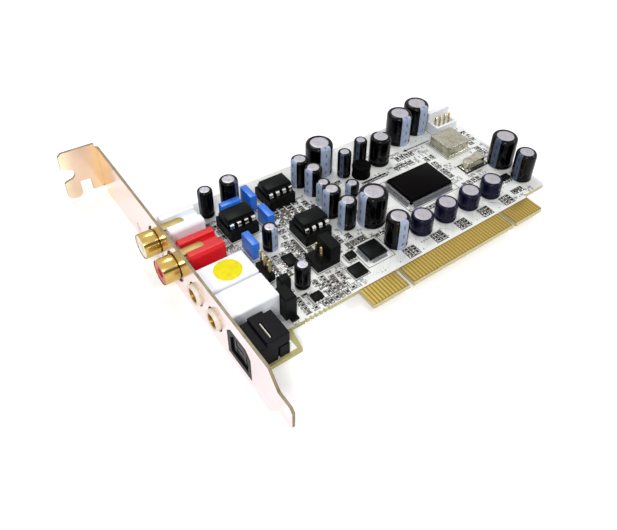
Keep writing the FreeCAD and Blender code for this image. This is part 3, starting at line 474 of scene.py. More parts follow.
@dataclass(frozen=True)
class SolderMask(Finish):
    """White solder mask over copper, with its faint relief and cloudy tone."""

    color: Color = (0.8, 0.8, 0.8, 1.0)
    shaded: Color = (0.7, 0.7, 0.7, 1.0)

    def wire(self, w: Wiring) -> None:
        """Wire the copper pour's outline and the mask's gloss.

        Args:
            w: The material's wiring.
        """
        where = w.places()
        cells = w.add("TexVoronoi", feature="DISTANCE_TO_EDGE", distance="CHEBYCHEV")
        w.give(cells, Vector=where, Scale=0.16)
        pour = w.step(cells.outputs["Distance"], 0.03, 0.05)
        cloud = w.step(w.noise(where, 0.12, 4.0), 0.3, 0.75)
        share = w.sum("MULTIPLY_ADD", cloud, 0.45, w.sum("MULTIPLY_ADD", pour, -0.2, 0.2),
                      clamp=True)
        w.give(w.surface, Base_Color=w.blend(share, self.color, self.shaded), Coat_Weight=0.25,
               Coat_Roughness=0.2)
        self.bump(w, pour, 0.02)


@dataclass(frozen=True)
class Laminate(Finish):
    """Bare glass laminate at the board's edges and behind its contacts."""

    color: Color = (0.4, 0.35, 0.15, 1.0)
    fibre: Color = (0.6, 0.55, 0.3, 1.0)

    def wire(self, w: Wiring) -> None:
        """Wire the layers of glass cloth and the specks of cut fibre.

        Args:
            w: The material's wiring.
        """
        layers = w.noise(w.places((350.0, 350.0, 5200.0)), 1.0, 2.0)
        specks = w.step(w.noise(w.places(), 5.0, 2.0), 0.5, 0.75)
        share = w.sum("MULTIPLY_ADD", layers, 0.6, w.times(specks, 0.35), clamp=True)
        w.give(w.surface, Base_Color=w.blend(share, self.color, self.fibre))
        self.bump(w, layers, 0.02)


@dataclass(frozen=True)
class ShrinkSleeve(Finish):
    """A can's shrunk plastic sleeve, with the pale stripe on its negative side."""

    color: Color = (0.01, 0.01, 0.012, 1.0)
    stripe: Color = (0.3, 0.35, 0.5, 1.0)
    mark: Color = (0.02, 0.02, 0.05, 1.0)
    stripe_edge: float = 0.8

    def wire(self, w: Wiring) -> None:
        """Wire the stripe and its plain dashes from the can's own coordinates.

        Args:
            w: The material's wiring.
        """
        across, along, height = w.own_place()
        facing = w.sum("DIVIDE", across, w.sum("MAXIMUM", w.reach(across, along), 0.01))
        stripe = w.step(facing, self.stripe_edge, self.stripe_edge + 0.012)
        beat = w.sum("FRACT", w.times(height, 0.27))
        dash = w.times(w.step(beat, 0.42, 0.45), w.step(beat, 0.88, 0.85))
        narrow = w.step(w.sum("ABSOLUTE", along), 0.34, 0.28)
        worn = w.step(w.noise(w.places(), 0.8), 0.2, 0.6)
        faded = w.blend(w.times(worn, 0.2), self.stripe, self.color)
        tone = w.blend(w.times(w.times(dash, narrow), 0.6), faded, self.mark)
        smudge = w.noise(w.places((900.0, 900.0, 260.0)), 0.8)
        duller = w.sum("MULTIPLY_ADD", stripe, 0.1, self.roughness - 0.08)
        w.give(w.surface, Base_Color=w.blend(stripe, self.color, tone), Specular_IOR_Level=0.14,
               Roughness=w.sum("MULTIPLY_ADD", smudge, 0.16, duller, clamp=True))
        self.bump(w, smudge, 0.03, 0.5)


@dataclass(frozen=True)
class ScoredTop(Finish):
    """A can's bare aluminium top, scored with a cross where it may vent."""

    color: Color = (0.6, 0.57, 0.6, 1.0)

    def wire(self, w: Wiring) -> None:
        """Wire the spun grain and the scored cross from the can's own coordinates.

        Args:
            w: The material's wiring.
        """
        across, along, _ = w.own_place()
        reach = w.reach(across, along)
        diagonals = [w.sum("ABSOLUTE", w.sum(way, across, along)) for way in ("ADD", "SUBTRACT")]
        score = w.times(w.step(w.sum("MINIMUM", *diagonals), 0.2, 0.1), w.step(reach, 2.6, 2.3))
        tone = w.step(w.noise(w.places(), 0.5), 0.25, 0.8)
        # The scored cross is darkened as painted shade in its groove; the rest of the darkening is a
        # random tone.
        shadow = w.sum("MULTIPLY_ADD", tone, 0.25, w.times(score, 0.2), clamp=True)
        darker = (*(part * 0.45 for part in self.color[:3]), 1.0)
        w.give(w.surface, Metallic=0.55, Base_Color=w.blend(shadow, self.color, darker))
        rings = w.times(w.sum("SINE", w.times(reach, 30.0)), 0.03)
        self.bump(w, w.sum("MULTIPLY_ADD", score, -1.0, rings), 0.05)


@dataclass(frozen=True)
class Enamel(Finish):
    """A thin glossy skin of print, dip or paper, mottled a little."""

    color: Color = (0.5, 0.5, 0.5, 1.0)
    second: Color = (0.4, 0.4, 0.4, 1.0)
    mottle: float = 1.2
    relief: float = 0.01
    gloss: float = 0.3
    shine: float = 0.5

    def wire(self, w: Wiring) -> None:
        """Wire the mottled tone and its relief.

        Args:
            w: The material's wiring.
        """
        where = w.places()
        share = w.step(w.noise(where, self.mottle, 4.0), 0.35, 0.7)
        w.give(w.surface, Base_Color=w.blend(share, self.color, self.second),
               Coat_Weight=self.gloss, Specular_IOR_Level=self.shine, Coat_Roughness=0.1)
        self.bump(w, w.noise(where, 6.0, 2.0), self.relief)


MASK = SolderMask("board_mask", "board", 0.32, color=shade(240, 241, 238),
                  shaded=shade(222, 225, 222))
LAMINATE = Laminate("board_laminate", "board", 0.5, color=shade(160, 150, 88),
                    fibre=shade(200, 191, 134))
CUT_LAMINATE = Laminate("cut_laminate", "board", 0.5, color=shade(184, 175, 124),
                        fibre=shade(212, 204, 162))
TAB_LAMINATE = Laminate("tab_laminate", "board", 0.38, color=shade(116, 92, 38),
                        fibre=shade(140, 116, 54))
PRINT_INK_AND_RECESS_SHADE = Enamel("legend_ink_and_recess_shade", "board", 0.5, color=shade(20, 20, 22), second=shade(46, 47, 46),
                gloss=0.0)
RELIEF = SolderMask("covered_copper", "board", 0.32, color=shade(226, 229, 227),
                    shaded=shade(204, 208, 205))
TIN = Metal("tinned_copper", "tinned", 0.24, color=shade(196, 196, 192),
            tarnish=shade(112, 110, 102), amount=0.4)
SOLDER = Metal("solder", "tinned", 0.2, color=shade(190, 192, 194), tarnish=shade(96, 98, 102),
               amount=0.35, relief=0.01)
LEAD_TIN = Metal("bright_leads", "tinned", 0.18, color=shade(226, 222, 216),
                 tarnish=shade(120, 114, 106))
CONTACT_GOLD = Metal("contact_gold", "gold_contact", 0.3, color=shade(190, 163, 82),
                     tarnish=shade(152, 127, 56), amount=0.3, edge=shade(222, 198, 128),
                     edge_share=0.3, edge_width=0.08, size=0.12, relief=0.001)
# The barrel's pale edges are painted highlight, and its dark band is a painted reflection.
BARREL_GOLD = Metal("barrel_gold", "gold_shell", 0.2, color=shade(206, 176, 102),
                    tarnish=shade(178, 130, 58), edge=shade(248, 230, 172), edge_share=0.3,
                    edge_width=0.12, size=0.12, relief=0.0004, painted_reflection_band=0.85,
                    painted_reflection_color=shade(66, 44, 14))
# Gold darkened as painted shade, for the linings deep inside the jack and phono holes.
BORE_GOLD_PAINTED_SHADE = Metal("jack_sleeve_gold_painted_shade", "gold_shell", 0.3, color=shade(150, 112, 48),
                    tarnish=shade(84, 58, 20), amount=0.5, size=0.5, relief=0.0004)
STRIP_METAL = Metal("strip_metal", "gold_shell", 0.5, color=shade(162, 146, 94),
                    tarnish=shade(140, 124, 78), amount=0.5, edge=shade(206, 192, 148),
                    edge_share=0.4)
PIN_BRASS = Metal("pin_brass", "tinned", 0.25, color=shade(214, 190, 130),
                  tarnish=shade(140, 112, 60), amount=0.3)
STEEL = PassivatedSteel("passivated_steel", "bracket_metal", 0.17, folded=shade(241, 214, 176),
                        flange=shade(229, 202, 178), tip=shade(250, 236, 204),
                        middle=shade(236, 219, 215), face=shade(238, 224, 226),
                        rim=shade(190, 170, 134))
CUT_STEEL = Enamel("cut_edge", "bracket_metal", 0.5, color=shade(152, 138, 106),
                   second=shade(118, 102, 70), mottle=0.25, gloss=0.1)
SCREW_METAL = Metal("screw_zinc", "screw_metal", 0.25, color=shade(206, 208, 210),
                    tarnish=shade(120, 120, 116), amount=0.3, edge=shade(240, 240, 240),
                    edge_share=0.4)
WHITE_PLASTIC = Moulded("white_plastic", "white_housing", 0.34, color=shade(238, 241, 247),
                        edge=shade(250, 250, 250), variation=0.03, sheen_coat=0.1)
WHITE_INSERT = Moulded("white_insert_plastic", "white_insert", 0.34, color=shade(252, 248, 236),
                       edge=shade(248, 248, 246), variation=0.04)
RED_PLASTIC = Moulded("red_plastic", "red_housing", 0.25, color=shade(214, 22, 30),
                      edge=shade(236, 100, 96), variation=0.06, shine=0.3)
# The insert's pale pink edges are a painted highlight round its rim.
RED_INSERT = Moulded("red_insert_plastic", "red_insert", 0.3, color=shade(202, 40, 54),
                     edge=shade(240, 140, 140), edge_share=0.6, variation=0.05)
CREAM_RING = Moulded("cream_ring", "gold_shell", 0.3, color=shade(240, 226, 206),
                     edge=shade(250, 244, 232), variation=0.05, sheen_coat=0.2)
BLACK_PLASTIC = Moulded("black_plastic_skin", "black_plastic", 0.3, color=shade(19, 19, 24),
                        edge=shade(60, 60, 70), variation=0.2, shine=0.04)
SHUTTER = Moulded("shutter_plastic", "black_plastic", 0.3, color=shade(44, 41, 43),
                  edge=shade(110, 106, 106), variation=0.2, shine=0.3)
PALE_SLIT = Moulded("pale_slit", "black_plastic", 0.4, color=shade(226, 222, 204),
                    edge=shade(240, 238, 228), variation=0.05)
CHIP_PLASTIC = Moulded("chip_resin", "chip_black", 0.34, color=shade(14, 17, 16),
                       edge=shade(58, 60, 59), variation=0.2, skin=14.0, relief=0.006, shine=0.06)
GLOSSY_CHIP = Moulded("controller_resin", "chip_black", 0.16, color=shade(9, 7, 7),
                      edge=shade(60, 60, 60), edge_share=0.45, skin=14.0, relief=0.002,
                      shine=0.02)
SOCKET_PLASTIC_AND_BORE_SHADE = Moulded("socket_resin_and_bore_shade", "socket_black", 0.4, color=shade(13, 14, 15),
                         edge=shade(44, 46, 48), variation=0.2, shine=0.06)
# The cases' wide pale edges are a painted highlight along their rims.
BLUE_CASE = Moulded("blue_case", "film_blue", 0.3, color=shade(42, 116, 222),
                    edge=shade(130, 180, 246), edge_share=0.8, edge_width=0.3, variation=0.05,
                    skin=5.0)
SLEEVE = ShrinkSleeve("black_sleeve", "can_sleeve", 0.12, color=shade(3, 3, 5),
                      stripe=shade(168, 183, 212), mark=shade(44, 50, 80), stripe_edge=0.85)
WIDE_SLEEVE = replace(SLEEVE, name="black_sleeve_wide", stripe=shade(174, 188, 216),
                      stripe_edge=0.9)
# A narrow dim stripe: on some cans the real stripe seen from the side, on others a painted bluish
# highlight streak.
DIM_STRIPE_GLINT_SLEEVE = replace(SLEEVE, name="black_sleeve_dim_stripe_glint", stripe=shade(84, 94, 118),
                     mark=shade(30, 34, 52), stripe_edge=0.955)
NAVY_SLEEVE = ShrinkSleeve("navy_sleeve_skin", "navy_sleeve", 0.13, color=shade(14, 13, 42),
                           stripe=shade(84, 90, 138), mark=shade(24, 22, 50),
                           stripe_edge=0.9)
CAN_TOP = ScoredTop("can_top", "can_sleeve", 0.34, color=shade(186, 182, 189))
RUBBER = Moulded("rubber_bung", "can_sleeve", 0.6, color=shade(30, 30, 32),
                 edge=shade(60, 60, 62))
# The pale edges of the oscillator and crystal cans are painted highlights.
NICKEL = Metal("plated_can_skin", "plated_can", 0.27, color=shade(176, 173, 158),
               tarnish=shade(128, 124, 104), amount=0.8, edge=shade(226, 224, 210),
               edge_share=0.6, size=0.35, relief=0.006)
CRYSTAL_CAN = Metal("crystal_can_skin", "crystal_can", 0.15, color=shade(188, 183, 164),
                    tarnish=shade(92, 88, 64), amount=0.6, edge=shade(240, 238, 220),
                    edge_share=0.5, size=0.5)
FERRITE = Moulded("ferrite_skin", "ferrite", 0.5, color=shade(6, 6, 7), edge=shade(30, 30, 33),
                  variation=0.3, skin=4.0, relief=0.02, shine=0.02)
CHIP_LEADS = Metal("chip_leads", "tinned", 0.55, color=shade(140, 142, 147),
                   tarnish=shade(92, 90, 88), amount=0.3)
CHIP_GLASS = Moulded("chip_glass", "chip_part", 0.25, color=shade(22, 22, 24),
                     edge=shade(80, 80, 82), shine=0.3)
CERAMIC_TAN = Moulded("ceramic_tan", "chip_part", 0.4, color=shade(98, 86, 70),
                      edge=shade(150, 130, 100), variation=0.2)
CERAMIC_WHITE = Moulded("ceramic_white", "chip_part", 0.45, color=shade(214, 212, 206),
                        edge=shade(236, 236, 232))
LABEL_PAPER = Enamel("label_paper", "yellow_label", 0.35, color=shade(238, 226, 0),
                     second=shade(230, 214, 0), mottle=0.5, gloss=0.0, shine=0.1)


# Modelling blocks
@dataclass(frozen=True)
class Box:
    """A box of the card, in card millimetres."""

    low: Vector
    high: Vector

    @property
    def centre(self) -> Vector:
        """Give the box's middle."""
        return (self.low + self.high) / 2

    @property
    def size(self) -> Vector:
        """Give the box's sides."""
        return self.high - self.low

    @property
    def foot(self) -> Vector:
        """Give the middle of the box's underside."""
        return Vector((*self.centre.xy, self.low.z))


def node_box(node: str) -> Box:
    """Give a CAD node's box in card millimetres."""
    low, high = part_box(node)
    return Box(low / MM - DATUM, high / MM - DATUM)


def cad_copy(node: str, merge: bool = True) -> Part:
    """Copy a CAD node's mesh for dressing, in card millimetres.

    Args:
        node: The node's name.
        merge: Whether flat faces are joined after the loose corners.

    Returns:
        The copy, with its loose triangles joined.
    """
    part = bmesh.new()
    part.from_mesh(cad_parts[node].data)
    part.transform(CARD_TO_FRAME.inverted())
    bmesh.ops.remove_doubles(part, verts=part.verts, dist=0.002)
    if merge:
        bmesh.ops.dissolve_limit(part, angle_limit=math.radians(0.8), verts=part.verts,
                                 edges=part.edges, use_dissolve_boundaries=False)
    return part


@cache
def solid_boxes(node: str) -> list[Box]:
    """Find the box of each separate solid of a CAD node.

    Args:
        node: The node's name.

    Returns:
        The boxes, from the lowest X to the highest.
    """
    part = cad_copy(node, merge=False)
    unseen, boxes = set(part.verts), []
    while unseen:
        queue, corners = [unseen.pop()], []
        while queue:
            corner = queue.pop()
            corners.append(corner.co.copy())
            for edge in corner.link_edges:
                other = edge.other_vert(corner)
                if other in unseen:
                    unseen.discard(other)
                    queue.append(other)
        sides = list(zip(*corners))
        boxes.append(Box(Vector(map(min, sides)), Vector(map(max, sides))))
    part.free()
    return sorted(boxes, key=lambda box: (round(box.low.x, 2), round(box.low.y, 2)))


def soften(part: Part, width: float, segments: int = 2, sharp: float = 30.0,
           keep: Optional[Callable[[bmesh.types.BMEdge], bool]] = None) -> None:
    """Round the sharp edges of a part.

    Args:
        part: The part, in card millimetres.
        width: Width of the rounding.
        segments: Faces across it.
        sharp: Least angle in degrees at which an edge is rounded.
        keep: Tells which of those edges are rounded; all of them without it.
    """
    edges = [edge for edge in part.edges
             if len(edge.link_faces) == 2 and edge.calc_face_angle(0.0) > math.radians(sharp)
             and (keep is None or keep(edge))]
    if edges:
        bmesh.ops.bevel(part, geom=edges, offset=width, offset_type="OFFSET", segments=segments,
                        profile=0.5, affect="EDGES", clamp_overlap=True, material=-1)


def cuboid(size: Sequence[float]) -> Part:
    """Model a block round the origin.

    Args:
        size: Its sides.

    Returns:
        The block.
    """
    part = bmesh.new()
    bmesh.ops.create_cube(part, size=1.0, matrix=Matrix.Diagonal((*size, 1.0)))
    return part


def cut(part: Part, place: Point, normal: Point) -> None:
    """Cut a part's faces along a plane and keep both sides."""
    bmesh.ops.bisect_plane(part, geom=part.verts[:] + part.edges[:] + part.faces[:], dist=1e-4,
                           plane_co=place, plane_no=normal)


def slide(part: Part, extruded: dict[str, list], way: Point) -> None:
    """Move the corners that an extrusion of a part has made."""
    corners = [item for item in extruded["geom"] if isinstance(item, bmesh.types.BMVert)]
    bmesh.ops.translate(part, vec=way, verts=corners)


def drafted(size: Vector, draft: float, parting: float = 0.0) -> Part:
    """Model a moulded package that is widest at its parting line.

    Args:
        size: Its sides.
        draft: How far its top and bottom draw in on each side.
        parting: Height of the parting line from the middle.

    Returns:
        The package, centred on its box.
    """
    part = cuboid(size)
    cut(part, (0, 0, parting), (0, 0, 1))
    ends = [corner for corner in part.verts if abs(corner.co.z - parting) > 1e-4]
    shrink = (1 - 2 * draft / size.x, 1 - 2 * draft / size.y, 1)
    bmesh.ops.scale(part, vec=shrink, verts=ends)
    return part


def placed(name: str, data: bpy.types.ID) -> bpy.types.Object:
    """Put an object into the scene.

    Args:
        name: The object's name.
        data: Its mesh, lamp or camera.

    Returns:
        The object.
    """
    item = bpy.data.objects.new(name, data)
    bpy.context.scene.collection.objects.link(item)
    return item


# One finish, or what picks the finish of each face
Paint = Finish | Callable[[Face], Finish]
# The finished pieces, in order
MADE: list[bpy.types.Object] = []


class Shape:
    """One piece in the making, modelled in card millimetres from painted parts."""

    def __init__(self) -> None:
        """Start with nothing modelled."""
        self.bm = bmesh.new()
        self.finishes: list[Finish] = []

    def number(self, finish: Finish) -> int:
        """Give a finish's place in the piece's list.

        Args:
            finish: The finish, which joins the list if it is new.

        Returns:
            Its place, from 0.
        """
        if finish not in self.finishes:
            self.finishes.append(finish)
        return self.finishes.index(finish)

    def take(self, part: Part, finish: Paint,
             matrix: Matrix = Matrix.Identity(4)) -> None:
        """Paint a modelled part and move it into the piece.

        Args:
            part: The part, which is used up.
            finish: Its finish, or what picks the finish of each face.
            matrix: Where the part goes, in card millimetres.
        """
        part.transform(matrix)
        part.normal_update()
        for face in part.faces:
            chosen = finish if isinstance(finish, Finish) else finish(face)
            face.material_index = self.number(chosen)
        passing = bpy.data.meshes.new("passing")
        part.to_mesh(passing)
        part.free()
        self.bm.from_mesh(passing)
        bpy.data.meshes.remove(passing)

    def dress(self, node: str, finish: Paint, width: float, segments: int = 3,
              sharp: float = 35.0) -> "Shape":
        """Take a copy of a CAD node with its sharp edges rounded.

        Args:
            node: The node's name.
            finish: The copy's finish, or what picks the finish of each face.
            width: Width of the rounding.
            segments: Faces across it.
            sharp: Least angle in degrees at which an edge is rounded.

        Returns:
            The shape itself.
        """
        part = cad_copy(node)
        soften(part, width, segments, sharp)
        self.take(part, finish)
        return self

    def block(self, low: Sequence[float], high: Sequence[float], finish: Paint,
              soft: float = 0.0, segments: int = 2) -> None:
        """Add a block between two corners.

        Args:
            low: Its lowest corner.
            high: Its highest corner.
            finish: Its finish.
            soft: Width of its rounded edges.
            segments: Faces across them.
        """
        low, high = Vector(low), Vector(high)
        part = cuboid(high - low)
        if soft:
            soften(part, soft, segments)
        self.take(part, finish, Matrix.Translation((low + high) / 2))

    def slab(self, middle: Sequence[float], half: Sequence[float], levels: Sequence[float],
             finish: Paint, soft: float = 0.0, segments: int = 2) -> None:
        """Add a block by its middle and half sides on the board, and its lower and upper height."""
        (x, y), (wide, deep), (low, high) = middle, half, levels
        self.block((x - wide, y - deep, low), (x + wide, y + deep, high), finish, soft, segments)

    def turned(self, profile: Profile, centre: Sequence[float], finish: Paint,
               axis: Axis = Axis.UP, steps: int = 48) -> None:
        """Add a turned part.

        Args:
            profile: Pairs of rise along the axis and radius, a radius of 0 closing the end.
            centre: Where the profile's zero stands.
            finish: Its finish, or what picks the finish of each face.
            axis: Where the profile climbs to.
            steps: Faces round the axis.
        """
        part = bmesh.new()
        made = [part.verts.new((radius, 0.0, rise)) for rise, radius in profile]
        chain = [part.edges.new(pair) for pair in zip(made, made[1:])]
        bmesh.ops.spin(part, geom=made + chain, cent=(0, 0, 0), axis=(0, 0, 1),
                       angle=math.tau, steps=steps, use_merge=True)
        bmesh.ops.remove_doubles(part, verts=part.verts, dist=1e-4)
        bmesh.ops.recalc_face_normals(part, faces=part.faces)
        self.take(part, finish, Matrix.Translation(Vector(centre)) @ axis.matrix())

    def prism(self, corners: Profile, low: float, high: float, finish: Paint,
              soft: float = 0.0) -> None:
        """Add an upright prism over a flat outline.

        Args:
            corners: The outline's places on the board.
            low: Height of its underside.
            high: Height of its top.
            finish: Its finish.
            soft: Width of its rounded edges.
        """
        part = bmesh.new()
        base = part.faces.new([part.verts.new((x, y, low)) for x, y in corners])
        slide(part, bmesh.ops.extrude_face_region(part, geom=[base]), (0, 0, high - low))
        bmesh.ops.recalc_face_normals(part, faces=part.faces)
        if soft:
            soften(part, soft)
        self.take(part, finish)

    def ribbon(self, path: Profile, width: float, thickness: float, finish: Finish,
               taper: float = 1.0) -> None:
        """Add a bent strip of sheet metal.

        Args:
            path: Middle line of the strip as pairs of Y and Z.
            width: Width along X at the path's start.
            thickness: Thickness of the sheet.
            finish: Its finish.
            taper: Width at the path's end as a share of the start's.
        """
        part = bmesh.new()
        made = [part.verts.new((-width / 2, y, z)) for y, z in path]
        chain = [part.edges.new(pair) for pair in zip(made, made[1:])]
        slide(part, bmesh.ops.extrude_edge_only(part, edges=chain), (width, 0, 0))
        if taper != 1.0:
            last = [corner for corner in part.verts
                    if (corner.co.yz - Vector(path[-1])).length < 1e-4]
            bmesh.ops.scale(part, vec=(taper, 1, 1), verts=last)
        bmesh.ops.solidify(part, geom=part.faces[:], thickness=thickness)
        bmesh.ops.recalc_face_normals(part, faces=part.faces)
        self.take(part, finish)

    def stamp(self, pattern: "Pattern", places: Iterable[Matrix]) -> None:
        """Put copies of a pattern into the piece.

        Args:
            pattern: The pattern.
            places: Where the copies go, by matrices without a mirror.
        """
        base = pattern.mesh.copy()
        numbers = [self.number(finish) for finish in pattern.finishes]
        for face in base.polygons:
            face.material_index = numbers[face.material_index]
        for matrix in places:
            copied = base.copy()
            copied.transform(matrix)
            self.bm.from_mesh(copied)
            bpy.data.meshes.remove(copied)
        bpy.data.meshes.remove(base)

    def own_places(self, feet: Sequence[Vector], facing: float) -> None:
        """Write each corner's place in its own solid as the attribute "place".

        Args:
            feet: Foot of each solid's axis.
            facing: Angle in degrees that the solids face.
        """
        layer = self.bm.verts.layers.float_vector.new("place")
        turn = Matrix.Rotation(-math.radians(facing), 3, "Z")
        for corner in self.bm.verts:
            foot = min(feet, key=lambda place: (place.xy - corner.co.xy).length)
            corner[layer] = turn @ (corner.co - foot)

    def piece(self, name: str, replaces: Sequence[str] = (), smooth: float = 32.0,
              slot: Optional[str] = None, flat: bool = False) -> None:
        """Finish the piece, let it ride on the card and note it in MADE.

        Args:
            name: The piece's name.
            replaces: CAD nodes that it stands for.
            smooth: Angle in degrees under which faces shade as one surface.
            slot: Material slot of the record; not used.
            flat: Whether the flat faces between softened edges shade flat.
        """
        self.bm.transform(CARD_TO_FRAME)
        mesh = bpy.data.meshes.new(name)
        self.bm.to_mesh(mesh)
        self.bm.free()
        mesh.polygons.foreach_set("use_smooth", [True] * len(mesh.polygons))
        mesh.set_sharp_from_angle(angle=math.radians(smooth))
        for finish in self.finishes:
            mesh.materials.append(finish.material())
        item = placed(name, mesh)
        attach(item, "root")
        if replaces:
            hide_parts(*replaces)
        if flat:
            weighted = item.modifiers.new("flat faces", "WEIGHTED_NORMAL")
            weighted.keep_sharp, weighted.weight = True, 80
        MADE.append(item)


class Pattern(Shape):
    """A small shape that is repeated, kept as a mesh."""

    def close(self) -> "Pattern":
        """Fix the pattern's mesh.

        Returns:
            The pattern itself.
        """
        self.mesh = bpy.data.meshes.new("pattern")
        self.bm.to_mesh(self.mesh)
        self.bm.free()
        return self


def at(x: float, y: float, z: float = 0.0, turn: float = 0.0) -> Matrix:
    """Give the matrix of a place on the board, turned about Z by degrees."""
    return Matrix.Translation((x, y, z)) @ Matrix.Rotation(math.radians(turn), 4, "Z")


def lead_row(chip: Box, turn: float, count: int, pitch: float, out: float = 0.0) -> list[Matrix]:
    """Place a row of leads along a chip's side, turned by degrees from its lower side."""
    side = at(*chip.centre.xy, 0.0, turn)
    return [side @ Matrix.Translation(((index - (count - 1) / 2) * pitch, -out, 0))
            for index in range(count)]


def held(x: float, y: float, field: Field) -> tuple[float, float]:
    """Give the place in a field that lies nearest to another place."""
    return min(field[2], max(field[0], x)), min(field[3], max(field[1], y))


class Ground:
    """The places on the board's upper side, and which of them are taken."""

    field: Field = (4.0, 8.4, 132.3, 71.3)
    beside: tuple[str, ...] = ("circuit_board", "bracket", "bracket_screw", "lead_ends")

    def __init__(self) -> None:
        """Take the places of the parts that stand on the board."""
        self.taken: list[Field] = []
        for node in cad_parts:
            if node not in self.beside:
                for box in solid_boxes(node):
                    if box.low.z < 1.0 and box.high.z > -0.1:
                        self.taken.append((*box.low.xy, *box.high.xy))

    def claim(self, x: float, y: float, half_x: float, half_y: float, gap: float) -> bool:
        """Take a place on the board if it is free.

        Args:
            x: Middle of the place.
            y: Middle of the place.
            half_x: Half its width.
            half_y: Half its height.
            gap: Distance that it keeps from what is there.

        Returns:
            Whether the place was free.
        """
        left, right = x - half_x - gap, x + half_x + gap
        low, high = y - half_y - gap, y + half_y + gap
        x0, y0, x1, y1 = self.field
        free = x0 < left and right < x1 and y0 < low and high < y1
        if free and not any(left < x1 and right > x0 and low < y1 and high > y0
                            for x0, y0, x1, y1 in self.taken):
            self.taken.append((x - half_x, y - half_y, x + half_x, y + half_y))
            return True
        return False


GROUND = Ground()


# Sub-assemblies
@dataclass
class BoardPanel:
    """The white circuit board, its covered tracks, print, vias and gold contacts."""

    mask_line: float = 7.85
    lobe_rim: float = 1.0
    lobe_side: float = 15.0
    lobe_end: float = 22.0
    tab_start: float = 30.0
    track_width: float = 0.22
    track_height: float = 0.05
    track_field: Field = (4.5, 9.6, 131.0, 70.2)
    loose_tracks: int = 46
    fan_start: float = 42.0
    fan_end: float = 76.0
    fan_squeeze: float = 0.42
    via_radius: float = 0.32
    via_line: float = 8.7
    loose_vias: int = 190
    via_rows: int = 14
    via_pitch: float = 1.1
    line_width: float = 0.2
    thin_line: float = 0.15
    ink: float = 0.035
    print_field: Field = (3.6, 8.6, 132.0, 71.0)
    mark: float = 0.95
    mark_line: float = 0.17
    mark_share: float = 0.6
    seed: int = 11
    fields: tuple[Field, ...] = (
        (79.3, 47.2, 86.2, 50.8), (86.6, 46.2, 102.2, 50.8), (92.0, 53.4, 99.4, 57.0),
        (103.0, 44.0, 109.6, 53.5), (103.8, 35.6, 111.2, 40.2), (103.6, 28.9, 107.8, 32.4),
        (110.8, 27.0, 119.4, 31.6), (122.6, 33.6, 131.6, 42.0), (127.4, 45.4, 132.0, 52.6),
        (76.6, 14.0, 80.2, 15.4), (88.2, 14.0, 92.0, 15.4), (99.6, 14.0, 103.4, 15.4),
        (111.2, 14.0, 115.0, 15.4), (116.0, 9.4, 127.0, 13.0), (16.6, 43.4, 23.0, 63.6),
        (23.4, 8.8, 46.0, 21.0), (24.4, 24.0, 41.0, 40.0), (35.0, 34.0, 40.0, 56.0),
        (38.6, 46.6, 54.0, 55.0), (46.0, 20.0, 68.0, 34.0), (62.0, 34.0, 70.0, 40.0),
        (76.0, 25.0, 84.0, 29.0), (84.0, 57.0, 92.0, 62.0))

    def build(self) -> None:
        """Build the panel, tracks, vias and print, and gild the contacts."""
        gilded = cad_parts["edge_contacts"].data.materials
        gilded.clear()
        gilded.append(CONTACT_GOLD.material())
        self.panel()
        self.tracks()
        self.vias()
        self.print_lines()

    def contacts(self) -> list[Box]:
        """Give the boxes of the contacts on the component side."""
        return [box for box in solid_boxes("edge_contacts") if box.centre.z > -0.8]

    def finish_of(self, face: Face) -> Finish:
        """Pick the finish of one of the panel's faces.

        Args:
            face: The face.

        Returns:
            The mask, or the laminate that the tab and the lobe leave bare.
        """
        middle = face.calc_center_median()
        on_lobe = middle.x < self.lobe_end
        if abs(face.normal.z) < 0.9:
            return LAMINATE if on_lobe else CUT_LAMINATE
        if middle.x > self.tab_start and middle.y < self.mask_line:
            return TAB_LAMINATE
        bare_to = self.mask_line if middle.x > self.lobe_side else self.lobe_rim
        return LAMINATE if on_lobe and middle.y < bare_to else MASK

    def panel(self) -> None:
        """Build the panel from the CAD board, with its tab and lobe rim left bare."""
        part = cad_copy("circuit_board")
        for place, normal in (((0, self.mask_line, 0), (0, 1, 0)),
                              ((0, self.lobe_rim, 0), (0, 1, 0)),
                              ((self.lobe_side, 0, 0), (1, 0, 0))):
            cut(part, place, normal)
        shape = Shape()
        shape.take(part, self.finish_of)
        shape.piece("board_panel", ["circuit_board"], smooth=25.0, slot="board")

    def tracks(self) -> None:
        """Build the tracks under the mask, from the contacts towards the controller."""
        shape = Shape()
        chooser = random.Random(self.seed)
        for number, contact in enumerate(self.contacts()):
            x, start = contact.centre.x, contact.high.y
            bend = start + 1.6 + 0.35 * (number % 5) + chooser.uniform(0, 0.6)
            aim = self.fan_end + (x - self.fan_start) * self.fan_squeeze
            shift = max(-5.0, min(5.0, aim - x))
            end = bend + abs(shift)
            self.run(shape, [(x, start), (x, bend), (x + shift, end),
                             (x + shift, end + chooser.uniform(3, 8))])
        for _ in range(self.loose_tracks):
            x, y = chooser.uniform(20, 128), chooser.uniform(12, 69)
            reach, bend = chooser.uniform(3, 11), chooser.choice((-1, 1)) * chooser.uniform(1, 4)
            if chooser.random() < 0.5:
                self.run(shape, [(x, y), (x + reach, y), (x + reach + abs(bend), y + bend)])
            else:
                self.run(shape, [(x, y), (x, y + reach), (x + bend, y + reach + abs(bend))])
        shape.piece("board_tracks", slot="board")

    def run(self, shape: Shape, corners: Profile) -> None:
        """Lay one raised track, kept on the board.

        Args:
            shape: The piece that it goes into.
            corners: Its corners.
        """
        kept = [held(x, y, self.track_field) for x, y in corners]
        for (x0, y0), (x1, y1) in zip(kept, kept[1:]):
            length = math.hypot(x1 - x0, y1 - y0)
            if length > 0.2:
                turn = math.degrees(math.atan2(y1 - y0, x1 - x0))
                bar = cuboid((length + self.track_width, self.track_width, self.track_height))
                shape.take(bar, RELIEF, at((x0 + x1) / 2, (y0 + y1) / 2, 0.0, turn))

